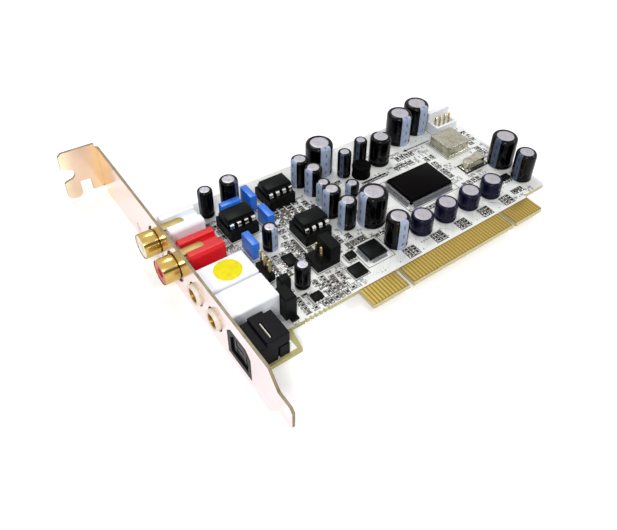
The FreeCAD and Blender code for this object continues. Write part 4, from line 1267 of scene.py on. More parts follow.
    def vias(self) -> None:
        """Build the plated vias on both sides of the board."""
        outer, inner = self.via_radius, self.via_radius * 0.5

        def pick(face: Face) -> Finish:
            """Pick black for the hole, as painted shade, and tin for the ring."""
            return PRINT_INK_AND_RECESS_SHADE if face.calc_center_median().xy.length < outer * 0.3 else TIN

        ring = Pattern()
        for foot, climb in ((-0.02, 1), (BOARD_UNDERSIDE + 0.02, -1)):
            ring.turned([(0.0, outer), (0.05 * climb, outer), (0.06 * climb, inner),
                         (0.01 * climb, inner * 0.7), (0.01 * climb, 0.0)], (0, 0, foot), pick,
                        steps=10)
        ring.close()
        chooser = random.Random(self.seed + 1)
        places = [(contact.centre.x, self.via_line + chooser.choice((0.0, 0.9)))
                  for contact in self.contacts() if chooser.random() < 0.55]
        places += [(chooser.uniform(19, 130), chooser.uniform(11, 70))
                   for _ in range(self.loose_vias)]
        for _ in range(self.via_rows):
            x, y = chooser.uniform(40, 120), chooser.uniform(12, 68)
            places += [(x + self.via_pitch * step, y) for step in range(4)]
        shape = Shape()
        shape.stamp(ring, [at(*place) for place in places
                           if GROUND.claim(*place, outer, outer, 0.05)])
        shape.piece("board_vias", slot="tinned")

    def print_lines(self) -> None:
        """Build the dark outlines and marks printed round the parts, and a wide dark band hugging
        the crystal's foot.
        """
        shape = Shape()
        gaps = {"controller_chip": 0.5, "converter_chip": 0.9, "oscillator": 0.5, "crystal": 0.5,
                "backed_header": 0.4, "short_header": 0.4, "plain_header": 0.4,
                "power_header": 0.4, "amplifier_socket_1": 0.4, "amplifier_socket_2": 0.4,
                "amplifier_socket_3": 0.4}
        framed = [(node_box(node), gap, self.line_width) for node, gap in gaps.items()]
        for node, gap, width in (("film_capacitors", 0.45, self.line_width),
                                 ("small_chips", 0.45, self.line_width),
                                 ("chip_parts", 0.42, self.thin_line), ("crystal", 0.1, 0.6)):
            framed += [(box, gap, width) for box in solid_boxes(node)]
        for box, gap, width in framed:
            (x0, y0), (x1, y1) = box.low.xy - Vector((gap, gap)), box.high.xy + Vector((gap, gap))
            for ends in ((x0, y0, x1, y0), (x0, y1, x1, y1), (x0, y0, x0, y1), (x1, y0, x1, y1)):
                self.line(shape, ends, width)
        self.arrow(shape, 101.6, 54.9, 12.0)
        chooser = random.Random(self.seed + 2)
        for field in self.fields:
            self.marks(shape, chooser, field)
        shape.piece("board_print", slot="board")

    def marks(self, shape: Shape, chooser: random.Random, field: Field) -> None:
        """Fill the free places of a field with small printed marks that spell nothing.

        Args:
            shape: The piece that they go into.
            chooser: Picks the places and strokes.
            field: The field.
        """
        tall, wide = self.mark / 2, self.mark * 0.3
        strokes = ((-wide, -tall, -wide, tall), (wide, -tall, wide, tall), (-wide, tall, wide, tall),
                   (-wide, 0.0, wide, 0.0), (-wide, -tall, wide, -tall))
        x0, y0, x1, y1 = field
        y = y0 + tall
        while y + tall <= y1:
            x = x0 + wide
            while x + wide <= x1:
                if chooser.random() < self.mark_share and GROUND.claim(x, y, wide, tall, 0.1):
                    for left, low, right, high in chooser.sample(strokes, 3):
                        self.line(shape, (x + left, y + low, x + right, y + high),
                                  self.mark_line)
                x += self.mark * 0.95
            y += self.mark * 1.5

    def line(self, shape: Shape, ends: Field, width: float) -> None:
        """Print one straight line along X or Y, kept on the board.

        Args:
            shape: The piece that it goes into.
            ends: The line's lower and its upper end.
            width: Its width.
        """
        x0, y0, x1, y1 = ends
        low = held(x0 - width / 2, y0 - width / 2, self.print_field)
        high = held(x1 + width / 2, y1 + width / 2, self.print_field)
        if high[0] > low[0] and high[1] > low[1]:
            shape.block((*low, 0.0), (*high, self.ink), PRINT_INK_AND_RECESS_SHADE)

    def arrow(self, shape: Shape, x: float, y: float, length: float) -> None:
        """Print the long mark, with its head where its shaft starts, beside the clock parts."""
        self.line(shape, (x, y, x + length, y), 0.45)
        shape.prism([(x - 1.6, y), (x + 0.2, y - 0.9), (x + 0.2, y + 0.9)], 0.0, self.ink, PRINT_INK_AND_RECESS_SHADE)


@dataclass
class SolderSide:
    """Joints, cropped leads and lands on the underside of the board."""

    cone_radius: float = 0.95
    cone_height: float = 0.75
    land_rim: float = 0.15
    stub_radius: float = 0.28

    def build(self) -> None:
        """Build the joints of the stouter leads and those of the capacitors."""
        stout = [box.centre for box in solid_boxes("lead_ends")]
        self.joints("solder_joints", stout, ["lead_ends"])
        self.joints("capacitor_joints", self.capacitor_leads(), [])

    def joints(self, name: str, places: Iterable[Vector],
               replaces: Sequence[str]) -> None:
        """Build solder cones round cropped leads.

        Args:
            name: The piece's name.
            places: Middle of each lead.
            replaces: CAD nodes that the joints stand for.
        """
        tip = node_box("lead_ends").low.z - BOARD_UNDERSIDE
        cone, stub, land = self.cone_radius, self.stub_radius, self.cone_radius + self.land_rim
        joint = Pattern()
        joint.turned([(0.0, land), (-0.05, land), (-0.06, cone), (-0.2, cone * 0.74),
                      (-0.45, cone * 0.45), (-self.cone_height, stub + 0.06),
                      (-self.cone_height, stub), (tip + 0.05, stub), (tip, stub * 0.75),
                      (tip, 0.0)], (0, 0, BOARD_UNDERSIDE), SOLDER, steps=14)
        shape = Shape()
        shape.stamp(joint.close(), [at(*place.xy) for place in places])
        shape.piece(name, replaces, smooth=50.0)

    def capacitor_leads(self) -> Iterable[Vector]:
        """Give the places of the capacitors' leads, two to a can.

        Returns:
            The places.
        """
        spacing = {5: 2.0, 6: 2.5, 8: 3.5, 10: 5.0}
        boxes = [node_box(capacitor.node) for capacitor in upright_capacitors()]
        for box in boxes + solid_boxes("flat_capacitors"):
            for side in (-0.5, 0.5):
                yield box.centre + Vector((side * spacing[round(box.size.x)], 0.0, 0.0))


@dataclass
class RearBracket:
    """The folded bracket and the screw that holds it to the board."""

    edge: float = 0.14
    sheet: float = 0.87
    fold_line: float = 99.45
    fold_depth: float = 0.2
    tab_stretch: tuple[float, float] = (50.0, 76.0)
    tab_top: float = 2.0
    slot_width: float = 0.75
    shank_radius: float = 1.45

    def build(self) -> None:
        """Build the plate and the screw."""
        plate = Shape().dress("bracket", self.finish_of, self.edge, 2, 40.0)
        plate.piece("bracket_plate", ["bracket"], smooth=40.0, slot="bracket_metal", flat=True)
        self.screw()

    def finish_of(self, face: Face) -> Finish:
        """Pick the finish of one of the plate's faces.

        Args:
            face: The face.

        Returns:
            The plated steel of the sheet's sides, or the cut steel of its edges.
        """
        middle = face.calc_center_median()
        across = face.normal.x if middle.x < self.sheet else face.normal.z
        if middle.y > self.fold_line and middle.x < self.fold_depth:
            across = face.normal.y
        start, end = self.tab_stretch
        by_tab = start < middle.y < end and middle.z < self.tab_top
        return STEEL if abs(across) > 0.5 or by_tab else CUT_STEEL

    def screw(self) -> None:
        """Build the pan-head screw with its crossed slots, head below the board."""
        box = node_box("bracket_screw")
        reach, end, radius = box.size.x / 2, box.size.z, self.shank_radius
        head = BOARD_UNDERSIDE - box.low.z
        shape = Shape()
        shape.turned([(0.0, 0.0), (0.0, reach * 0.5), (head * 0.12, reach * 0.78),
                      (head * 0.4, reach * 0.95), (head * 0.8, reach), (head, reach * 0.98),
                      (head, radius), (end - 0.25, radius), (end, radius - 0.3), (end, 0.0)],
                     box.foot, SCREW_METAL, steps=40)
        # The crossed slots are thin black blocks on the head, painted shade in place of their depth.
        slot = (reach * 0.55, self.slot_width / 2)
        for half in (slot, slot[::-1]):
            shape.slab(box.centre.xy, half, (box.low.z - 0.01, box.low.z + 0.06), PRINT_INK_AND_RECESS_SHADE)
        shape.piece("tab_screw", ["bracket_screw"], smooth=40.0)


@dataclass
class PhonoSocket:
    """One phono socket: moulded housing, gold barrel with ground strip, and insert."""

    side: str
    housing: Moulded
    insert: Moulded
    edge: float = 0.28
    barrel_radius: float = 4.1
    bore_radius: float = 3.6
    barrel_length: float = 7.8
    collar: float = 4.66
    strip_half: float = 1.5
    strip_start: float = 1.9
    strip_top: float = 9.98
    strip_sheet: float = 0.36
    proud: float = 0.35
    hole_radius: float = 1.62
    insert_radius: float = 3.57

    def __post_init__(self) -> None:
        """Find the boxes of the shell and of the insert."""
        self.shell = node_box("phono_shell_" + self.side)
        self.core = node_box("phono_insert_" + self.side)

    def build(self) -> None:
        """Build the housing, barrel, strip and insert."""
        node = "phono_housing_" + self.side
        body = Shape().dress(node, self.housing, self.edge)
        body.piece("phono_body_" + self.side, [node], flat=True)
        self.barrel()
        self.strip()
        self.middle()

    def barrel(self) -> None:
        """Build the turned barrel with its rolled front lip and rear collar."""
        outer, inner = self.barrel_radius, self.bore_radius
        collar, end = self.collar, self.barrel_length
        profile = [(0.9, inner), (0.5, inner), (0.48, outer - 0.23), (0.06, outer - 0.21),
                   (0.0, outer - 0.14), (0.03, outer - 0.06), (0.14, outer), (collar, outer),
                   (collar + 0.06, outer - 0.06), (collar + 0.06, outer - 0.2),
                   (end, outer - 0.2), (end, inner), (0.9, inner)]
        shape = Shape()
        shape.turned(profile, (self.shell.low.x, *self.core.centre.yz), BARREL_GOLD, Axis.INWARDS,
                     80)
        shape.piece("phono_barrel_" + self.side, ["phono_shell_" + self.side], smooth=40.0)

    def strip(self) -> None:
        """Build the ground strip that lies flat over the housing, with its raised dot."""
        y, half, high = self.core.centre.y, self.strip_half, self.strip_top
        end = self.shell.high.x
        corners = [(self.strip_start, y - half), (end - half, y - half)]
        corners += [(end - half + half * math.sin(turn), y - half * math.cos(turn))
                    for turn in [math.pi * step / 12 for step in range(1, 12)]]
        corners += [(end - half, y + half), (self.strip_start, y + half)]
        shape = Shape()
        shape.prism(corners, high - self.strip_sheet, high, STRIP_METAL, 0.07)
        shape.turned([(0.0, 0.5), (0.12, 0.46), (0.16, 0.3), (0.1, 0.0)],
                     (end - 1.7, y, high - 0.02), STRIP_METAL, steps=20)
        shape.piece("phono_strip_" + self.side)

    def middle(self) -> None:
        """Build the insulating insert with the spring contact in its hole."""
        centre = self.core.centre - Vector((self.core.size.x / 2 + self.proud, 0, 0))
        hole, outer, end = self.hole_radius, self.insert_radius, self.core.size.x + self.proud
        shape = Shape()
        shape.turned([(0.0, hole + 0.25), (0.0, outer - 0.1), (0.08, outer + 0.15),
                      (0.3, outer + 0.27), (0.32, outer), (end, outer), (end, 0.0),
                      (end - 0.3, 0.0), (end - 0.3, hole), (0.25, hole), (0.0, hole + 0.25)],
                     centre, self.insert, Axis.INWARDS, 56)
        shape.turned([(1.5, 1.2), (1.5, 1.55), (end - 1.0, 1.58), (end - 1.0, 1.3), (1.5, 1.2)],
                     centre, BORE_GOLD_PAINTED_SHADE, Axis.INWARDS, 32)
        shape.piece("phono_core_" + self.side, ["phono_insert_" + self.side])


@dataclass
class SmallJack:
    """One small jack: closed housing and the ring round its mouth."""

    side: str
    edge: float = 0.25
    bore_radius: float = 1.85
    sleeve_radius: float = 2.5

    def build(self) -> None:
        """Build the housing and the mouth ring."""
        self.body()
        self.mouth()

    def body(self) -> None:
        """Build the housing, with dark plastic inside its bore as painted shade, and two feet at its
        back.
        """
        axis = node_box("jack_bushing_" + self.side).centre.yz
        dark = self.bore_radius + 0.1

        def pick(face: Face) -> Finish:
            """Pick dark plastic inside the bore, as painted shade.

            Args:
                face: The face.

            Returns:
                Its finish.
            """
            middle = face.calc_center_median()
            in_bore_shade = (middle.yz - axis).length < dark and middle.x > 1.5
            return SOCKET_PLASTIC_AND_BORE_SHADE if in_bore_shade else WHITE_PLASTIC

        node = "jack_housing_" + self.side
        shape = Shape().dress(node, pick, self.edge)
        box = node_box(node)
        for share in (0.25, 0.75):
            y = box.low.y + box.size.y * share
            shape.slab((box.high.x - 1.8, y), (0.4, 0.5), (0.0, 0.35), TIN, 0.06)
        shape.piece("jack_body_" + self.side, [node], flat=True)

    def mouth(self) -> None:
        """Build the ring with its rounded rim and the gold sleeve inside it."""
        box = node_box("jack_bushing_" + self.side)
        outer, end = box.size.y / 2, box.size.x
        bore, sleeve = self.bore_radius, self.sleeve_radius
        ring = [(end, sleeve), (0.32, sleeve - 0.05), (0.06, sleeve + 0.12), (0.0, sleeve + 0.35),
                (0.08, outer - 0.18), (0.34, outer - 0.02), (end, outer), (end, sleeve)]
        lining = [(end, bore), (0.5, bore), (0.24, bore + 0.14), (0.2, bore + 0.35),
                  (0.4, sleeve - 0.02), (end, sleeve), (end, bore)]
        shape = Shape()
        for profile, finish, steps in ((ring, CREAM_RING, 64), (lining, BORE_GOLD_PAINTED_SHADE, 48)):
            shape.turned(profile, (box.low.x, *box.centre.yz), finish, Axis.INWARDS, steps)
        shape.piece("jack_mouth_" + self.side, ["jack_bushing_" + self.side],
                    slot="gold_shell")


@dataclass
class RoundLabel:
    """The round paper label on the upper jack, without print."""

    def build(self) -> None:
        """Build the label."""
        box = node_box("round_label")
        reach, rise = box.size.x / 2, box.size.z
        shape = Shape()
        shape.turned([(0.0, 0.0), (0.0, reach - 0.02), (rise * 0.7, reach), (rise, reach - 0.05),
                      (rise, reach * 0.9), (rise, reach * 0.45), (rise, 0.0)],
                     box.foot, LABEL_PAPER, steps=72)
        shape.piece("label_disc", ["round_label"])


@dataclass
class OpticalSocket:
    """The black optical socket with its shuttered port and grooved top."""

    edge: float = 0.2
    slit: tuple[float, float] = (7.7, 5.25)
    slit_half: tuple[float, float] = (0.14, 2.7)
    slit_levels: tuple[float, float] = (7.7, 8.86)
    terminals: tuple[float, ...] = (2.6, 5.7, 8.8)

    def build(self) -> None:
        """Build the housing, the shutter and the slit with the terminals."""
        body = Shape().dress("optical_housing", BLACK_PLASTIC, self.edge)
        body.piece("optical_body", ["optical_housing"], flat=True)
        self.shutter()
        self.trim()

    def shutter(self) -> None:
        """Build the hinged shutter that closes the port, with its key groove."""
        box = node_box("optical_plug")
        low, high, middle, half = box.low, box.high, box.centre, box.size.y * 0.3
        shape = Shape()
        shape.block((low.x + 0.25, low.y, low.z), (low.x + 0.8, high.y, high.z), SHUTTER, 0.12)
        for y in (middle.y - half, middle.y + half):
            shape.slab((low.x + 0.2, y), (0.2, 0.35), (low.z + 0.9, high.z - 0.9), SHUTTER, 0.1)
        shape.slab((low.x + 0.225, middle.y), (0.175, half), (middle.z - 0.3, middle.z + 0.3),
                   SHUTTER, 0.1)
        shape.piece("optical_shutter", ["optical_plug"])

    def trim(self) -> None:
        """Build the pale slit in the top's groove and the terminals."""
        back = node_box("optical_housing").high.x
        shape = Shape()
        shape.slab(self.slit, self.slit_half, self.slit_levels, PALE_SLIT, 0.06)
        for y in self.terminals:
            shape.slab((back - 0.05, y), (0.05, 0.3), (0.0, 0.5), TIN, 0.03)
        shape.piece("optical_trim", slot="black_plastic")


@dataclass
class RadialCan:
    """The radial capacitors of one node, standing on the board."""

    node: str
    facing: float
    sleeve: ShrinkSleeve = SLEEVE
    bare: float = 0.7
    steps: int = 56

    def lip(self, radius: float) -> float:
        """Give the reach of the bare top inside the sleeve's curled edge."""
        return self.bare * radius - 0.17

    def profile(self, radius: float, height: float) -> Profile:
        """Give the can's outline from its foot to the middle of its top.

        Args:
            radius: The can's radius.
            height: Its height.

        Returns:
            Pairs of rise and radius.
        """
        lip = self.lip(radius)
        curl = min(1.0, (radius - lip) / 1.35)
        foot = [(0.0, 0.0), (0.0, 0.5), (0.14, 0.22), (0.34, 0.03), (0.9, 0.0), (1.2, 0.03),
                (1.42, 0.2), (1.62, 0.26), (1.82, 0.2), (2.04, 0.03), (2.3, 0.0)]
        curled = [(1.4, 0.0), (0.75, 0.1), (0.34, 0.34), (0.08, 0.7), (0.0, 1.1)]
        top = [(0.03, lip + 0.1), (0.16, lip), (0.17, lip - 0.03), (0.13, lip - 0.16),
               (0.15, lip * 0.6), (0.16, 0.0)]
        return [foot[0], *((rise, radius - drawn) for rise, drawn in foot[1:]),
                *((height - drop * curl, radius - drawn * curl) for drop, drawn in curled),
                *((height - drop, reach) for drop, reach in top)]

    def add(self, shape: Shape, box: Box) -> None:
        """Turn one can into the piece.

        Args:
            shape: The piece.
            box: The can's box on the card.
        """
        radius = box.size.x / 2

        def pick(face: Face) -> Finish:
            """Pick the bare top, the rubber foot or the sleeve.

            Args:
                face: The face.

            Returns:
                Its finish.
            """
            middle = face.calc_center_median()
            reach = (middle.xy - box.centre.xy).length
            if middle.z > box.high.z - 0.5 and reach < self.lip(radius):
                return CAN_TOP
            return RUBBER if middle.z < box.low.z + 0.01 and reach < radius - 0.4 else self.sleeve

        shape.turned(self.profile(radius, box.size.z), box.foot, pick, steps=self.steps)

    def build(self) -> None:
        """Build all of the node's cans as one piece."""
        boxes = solid_boxes(self.node)
        shape = Shape()
        for box in boxes:
            self.add(shape, box)
        shape.own_places([box.foot for box in boxes], self.facing)
        shape.piece(self.node.replace("capacitor", "can"), [self.node], smooth=50.0)


@dataclass
class FilmCapacitors:
    """The four moulded blue film capacitors."""

    corner: float = 0.2
    foot: float = 0.3
    draft: Point = (0.985, 0.96, 1.0)
    lead_spacing: float = 5.08
    lead_radius: float = 0.3

    def build(self) -> None:
        """Build all four as one piece."""
        shape = Shape()
        lead_top, radius = self.foot + 0.2, self.lead_radius
        for box in solid_boxes("film_capacitors"):
            part = cuboid(box.size - Vector((0, 0, self.foot)))
            top = [corner for corner in part.verts if corner.co.z > 0]
            bmesh.ops.scale(part, vec=self.draft, verts=top)
            soften(part, self.corner, 3)
            lift = Vector((0, 0, self.foot / 2))
            shape.take(part, BLUE_CASE, Matrix.Translation(box.centre + lift))
            along = Vector((1, 0, 0)) if box.size.x > box.size.y else Vector((0, 1, 0))
            for side in (-0.5, 0.5):
                shape.turned([(0.0, 0.0), (0.0, radius), (lead_top, radius), (lead_top, 0.0)],
                             Vector((*box.centre.xy, 0)) + along * side * self.lead_spacing,
                             LEAD_TIN, steps=10)
        shape.piece("film_blocks", ["film_capacitors"])


@dataclass
class SocketedAmplifier:
    """One eight-pin amplifier in its open socket."""

    number: str
    pitch: float = 2.54
    row: float = 3.81
    body_length: float = 9.8
    body_width: float = 6.35
    draft: float = 0.34
    shoulder: float = 1.3
    sheet: float = 0.3

    def build(self) -> None:
        """Build the socket and the amplifier."""
        self.socket()
        self.amplifier()

    def pins(self) -> list[tuple[float, int]]:
        """Give each lead's place along X and the side that it is on."""
        return [((index - 1.5) * self.pitch, side) for side in (-1, 1) for index in range(4)]

    def socket(self) -> None:
        """Build the open socket with its lined contact holes and ribs."""
        node = "amplifier_socket_" + self.number
        box = node_box(node)
        low, high, middle = box.low.z, box.high.z, box.centre
        shape = Shape().dress(node, SOCKET_PLASTIC_AND_BORE_SHADE, 0.16, 2)
        for across, side in self.pins():
            x, y = middle.x + across, middle.y + side * self.row
            edge = middle.y + side * box.size.y / 2
            shape.slab((x, y), (0.62, 0.5), (high - 0.3, high - 0.02), LEAD_TIN, 0.08)
            shape.slab((x, y), (0.22, 0.22), (low - 0.02, low + 0.4), LEAD_TIN)
            shape.slab((x, edge - 0.04), (0.5, 0.06), (low + 0.5, high - 0.5), SOCKET_PLASTIC_AND_BORE_SHADE,
                       0.05)
        shape.piece("opamp_socket_" + self.number, [node], flat=True)

    def amplifier(self) -> None:
        """Build the resin body and its eight bent leads."""
        node = "amplifier_" + self.number
        socket = node_box("amplifier_socket_" + self.number)
        x, y = socket.centre.xy
        low, high = socket.high.z + 0.4, node_box(node).high.z
        shape = Shape()
        part = drafted(Vector((self.body_length, self.body_width, high - low)), self.draft, -0.1)
        soften(part, 0.12, 2, 25.0)
        shape.take(part, CHIP_PLASTIC, at(x, y, (low + high) / 2))
        shape.turned([(-0.3, 0.0), (-0.3, 0.75), (0.012, 0.75), (0.012, 0.62), (-0.05, 0.5),
                      (-0.05, 0.0)], (x - self.body_length / 2 + 1.0, y, high),
                     CHIP_PLASTIC, steps=24)
        leave = (low + high) / 2 - 0.1
        lead = Pattern()
        lead.ribbon([(-2.9, leave), (-3.5, leave), (-3.72, leave - 0.06), (-3.86, leave - 0.24),
                     (-3.9, leave - 0.5), (-3.93, leave - 1.25)], self.shoulder, self.sheet,
                    LEAD_TIN)
        lead.ribbon([(-3.93, leave - 1.2), (-3.92, leave - 1.65), (-3.88, socket.high.z - 0.9)],
                    self.shoulder * 0.8, self.sheet, LEAD_TIN, taper=0.42)
        shape.stamp(lead.close(), [at(x + across, y, 0.0, 0.0 if side < 0 else 180.0)
                                   for across, side in self.pins()])
        shape.piece("opamp_" + self.number, [node], slot="chip_black")


@dataclass
class LeadedChip:
    """A flat surface-mounted chip with fine bent leads on its four sides."""

    node: str
    name: str
    resin: Moulded
    body: tuple[float, float]
    leads: tuple[int, int]
    reach: float
    lift: float
    draft: float
    pitch: float = 0.5
    lead_width: float = 0.24
    lead_sheet: float = 0.14
    dimple_inset: float = 1.3

    def build(self) -> None:
        """Build the body with its leads."""
        box = node_box(self.node)
        (x, y), (long, short) = box.centre.xy, self.body
        low, high = self.lift, box.high.z
        middle = (low + high) / 2
        shape = Shape()
        part = drafted(Vector((long, short, high - low)), self.draft, -0.05)
        soften(part, 0.14, 2, 25.0)
        shape.take(part, self.resin, at(x, y, middle))
        for across, count, turns in ((long, self.leads[1], (90.0, 270.0)),
                                     (short, self.leads[0], (0.0, 180.0))):
            lead = self.lead(across / 2, middle - 0.1)
            for turn in turns:
                shape.stamp(lead, lead_row(box, turn, count, self.pitch))
        corner = (x - long / 2 + self.dimple_inset, y - short / 2 + self.dimple_inset, high)
        shape.turned([(-0.1, 0.0), (-0.1, 0.5), (0.01, 0.5), (0.01, 0.42), (-0.04, 0.34),
                      (-0.04, 0.0)], corner, self.resin, steps=20)
        shape.piece(self.name, [self.node], slot="chip_black")

    def lead(self, edge: float, leave: float) -> Pattern:
        """Model one lead on the chip's lower side.

        Args:
            edge: Distance of the body's side from its middle.
            leave: Height at which the lead leaves the body.

        Returns:
            The lead with its land.
        """
        reach, wide = self.reach, self.lead_width * 0.6
        lead = Pattern()
        lead.ribbon([(0.3 - edge, leave), (-edge - reach * 0.22, leave),
                     (-edge - reach * 0.36, leave - 0.12), (-edge - reach * 0.5, 0.26),
                     (-edge - reach * 0.6, 0.13), (0.05 - edge - reach, 0.11)],
                    self.lead_width, self.lead_sheet, CHIP_LEADS)
        lead.block((-wide, -edge - reach - 0.15, 0.0), (wide, -edge - reach * 0.5, 0.06),
                   CHIP_LEADS)
        return lead.close()


@dataclass
class SmallParts:
    """Small chips and the chip resistors and capacitors in their rows."""

    seed: int = 4
    pitch: float = 1.27
    loose: Box = Box(Vector((18.5, 8.75, 0.0)), Vector((21.1, 10.3, 1.1)))
    dimple_inset: float = 0.75
    cell: tuple[float, float] = (1.5, 2.75)
    cell_half: tuple[float, float] = (0.5, 1.1)
    filled_share: float = 0.88
    resistor_share: float = 0.7
    capacitor_share: float = 0.3
    crowded: tuple[Field, ...] = (
        (17.6, 44.4, 21.4, 63.4), (38.6, 47.4, 54.0, 54.6), (35.2, 36.0, 39.6, 47.6),
        (24.4, 24.4, 41.0, 38.4), (49.4, 22.6, 57.4, 32.6), (23.2, 8.8, 43.0, 20.4),
        (57.4, 22.8, 67.0, 32.0), (64.0, 52.0, 70.0, 57.0), (62.0, 33.0, 69.0, 38.0),
        (124.6, 34.6, 132.0, 41.6), (103.2, 44.4, 109.4, 48.4), (125.2, 44.4, 131.9, 53.0))

    def build(self) -> None:
        """Build the small chips and the rows."""
        self.chips()
        self.rows()

    def chips(self) -> None:
        """Build the small packages with their leads."""
        shape = Shape()
        GROUND.claim(*self.loose.centre.xy, *(self.loose.size.xy / 2), 0.0)
        for box in solid_boxes("small_chips") + [self.loose]:
            size, low = box.size, box.low
            flat = size.x == size.y or size.z < 0.95
            lift = 0.02 if flat else 0.12
            part = drafted(size - Vector((0, 0, lift)), lift)
            soften(part, 0.07, 2, 25.0)
            raised = box.centre + Vector((0, 0, lift / 2))
            shape.take(part, CHIP_PLASTIC, Matrix.Translation(raised))
            corner = (low.x + self.dimple_inset, low.y + self.dimple_inset, box.high.z)
            shape.turned([(-0.05, 0.0), (-0.05, 0.26), (0.008, 0.26), (0.008, 0.2),
                          (-0.02, 0.16), (-0.02, 0.0)], corner, CHIP_PLASTIC, steps=16)
            if flat:
                self.lands(shape, box)
            else:
                self.legs(shape, box)
        shape.piece("small_packages", ["small_chips"])

    def lands(self, shape: Shape, box: Box) -> None:
        """Put the side lands round a leadless chip.

        Args:
            shape: The piece that they go into.
            box: The chip's box.
        """
        land = Pattern()
        land.block((-0.13, -0.28, 0.0), (0.13, 0.12, 0.2), LEAD_TIN, 0.03, 1)
        land.close()
        count = 8 if box.size.y > 3 else 3
        pitch = (min(box.size.xy) - 1.0) / (count - 1)
        for turn, side in ((0.0, box.size.y), (90.0, box.size.x), (180.0, box.size.y),
                           (270.0, box.size.x)):
            shape.stamp(land, lead_row(box, turn, count, pitch, side / 2))

    def legs(self, shape: Shape, box: Box) -> None:
        """Put bent legs on two sides of a small chip.

        Args:
            shape: The piece that they go into.
            box: The chip's box.
        """
        edge, run, high = min(box.size.xy) / 2, max(box.size.xy), box.size.z
        count = max(2, round((run - 0.6) / self.pitch) + 1)
        pitch = self.pitch if count > 3 else (run - 1.0) / (count - 1)
        leg = Pattern()
        leg.ribbon([(-edge + 0.2, high * 0.5), (-edge - 0.2, high * 0.5),
                    (-edge - 0.34, high * 0.4), (-edge - 0.42, 0.2), (-edge - 0.55, 0.1),
                    (-edge - 0.9, 0.09)], 0.42, 0.15, LEAD_TIN)
        leg.block((-0.3, -edge - 1.1, 0.0), (0.3, -edge - 0.35, 0.06), SOLDER, 0.02, 1)
        leg.close()
        for turn in (90.0, 270.0) if box.size.y > box.size.x else (0.0, 180.0):
            shape.stamp(leg, lead_row(box, turn, count, pitch))

    def pattern(self, body: Moulded, top: Optional[Moulded], height: float) -> Pattern:
        """Model one chip part along X, with its wrapped ends, joints, lands and print.

        Args:
            body: Finish of the body.
            top: Finish of the glass over a resistor, if it has one.
            height: Height of the body.

        Returns:
            The pattern.
        """
        made = Pattern()
        made.slab((0, 0), (0.56, 0.39), (0.04, height), body)
        if top:
            made.slab((0, 0), (0.5, 0.37), (height - 0.02, height + 0.03), top)
        for side in (-1, 1):
            made.slab((side * 0.65, 0), (0.15, 0.4), (0.03, height + 0.02), LEAD_TIN, 0.04, 1)
            made.slab((side * 0.915, 0), (0.135, 0.36), (0.0, 0.16), SOLDER, 0.06)
            made.slab((side * 0.77, 0), (0.35, 0.46), (0.0, 0.04), TIN)
            made.slab((0, side * 0.6), (1.12, 0.09), (0.0, 0.036), PRINT_INK_AND_RECESS_SHADE)
        return made.close()

    def rows(self) -> None:
        """Build the rows of chip resistors and chip capacitors."""
        kinds = (self.pattern(CERAMIC_WHITE, CHIP_GLASS, 0.42),
                 self.pattern(CERAMIC_TAN, None, 0.52))
        chooser = random.Random(self.seed)
        places: list[list[Matrix]] = [[], []]
        for box in solid_boxes("chip_parts"):
            turn = 0.0 if box.size.x > box.size.y else 90.0
            places[chooser.random() >= self.resistor_share].append(at(*box.centre.xy, 0.0, turn))
        for x0, y0, x1, y1 in self.crowded:
            upright = chooser.random() < 0.5
            (step_x, step_y), half = self.cell, self.cell_half
            if not upright:
                step_x, step_y, half = step_y, step_x, half[::-1]
            for row in range(int((y1 - y0) / step_y)):
                for column in range(int((x1 - x0) / step_x)):
                    x, y = x0 + (column + 0.5) * step_x, y0 + (row + 0.5) * step_y
                    if chooser.random() < self.filled_share and GROUND.claim(x, y, *half, 0.12):
                        kind = chooser.random() < self.capacitor_share
                        places[kind].append(at(x, y, 0.0, 90.0 * upright))
        shape = Shape()
        for kind, where in zip(kinds, places):
            shape.stamp(kind, where)
        shape.piece("chip_rows", ["chip_parts"], slot="chip_part")


@dataclass
class ClockParts:
    """The oscillator can, the crystal and the choke."""

    def build(self) -> None:
        """Build the three parts, one piece each."""
        for node, name, finish, edge in (("oscillator", "oscillator_can", NICKEL, 0.22),
                                         ("crystal", "crystal_can", CRYSTAL_CAN, 0.2)):
            Shape().dress(node, finish, edge, 3, 40.0).piece(name, [node], flat=True)
        self.choke()

    def choke(self) -> None:
        """Build the choke's drum with the recess round its winding."""
        box = node_box("choke")
        reach, high = box.size.x / 2, box.size.z
        shape = Shape()
        shape.turned([(0.0, 0.0), (0.0, reach - 0.3), (0.2, reach), (1.0, reach),
                      (1.12, reach - 0.14), (high - 1.12, reach - 0.14), (high - 1.0, reach),
                      (high - 0.35, reach), (high - 0.1, reach - 0.12), (high, reach - 0.4),
                      (high, reach * 0.3), (high - 0.12, reach * 0.26), (high - 0.12, 0.0)],
                     (*box.centre.xy, 0.0), FERRITE)
        shape.piece("choke_drum", ["choke"], smooth=45.0)


@dataclass
class Headers:
    """The connector blocks and their pins."""

    edge: float = 0.16
    tip: float = 0.16

    def build(self) -> None:
        """Build the five blocks and the pins."""
        for kind in ("power", "backed", "tall", "short", "plain"):
            node = kind + "_header"
            finish = WHITE_PLASTIC if kind == "power" else SOCKET_PLASTIC_AND_BORE_SHADE
            Shape().dress(node, finish, self.edge, 2).piece(node + "_block", [node], flat=True)
        self.pins()

    def pins(self) -> None:
        """Build the square pins with their pointed tips."""
        shape = Shape()
        for box in solid_boxes("header_pins"):
            part = cuboid(box.size)
            soften(part, self.tip, 1,
                   keep=lambda edge: all(corner.co.z > 0 for corner in edge.verts))
            shape.take(part, PIN_BRASS, Matrix.Translation(box.centre))
        shape.piece("header_pin_rows", ["header_pins"], slot="tinned")


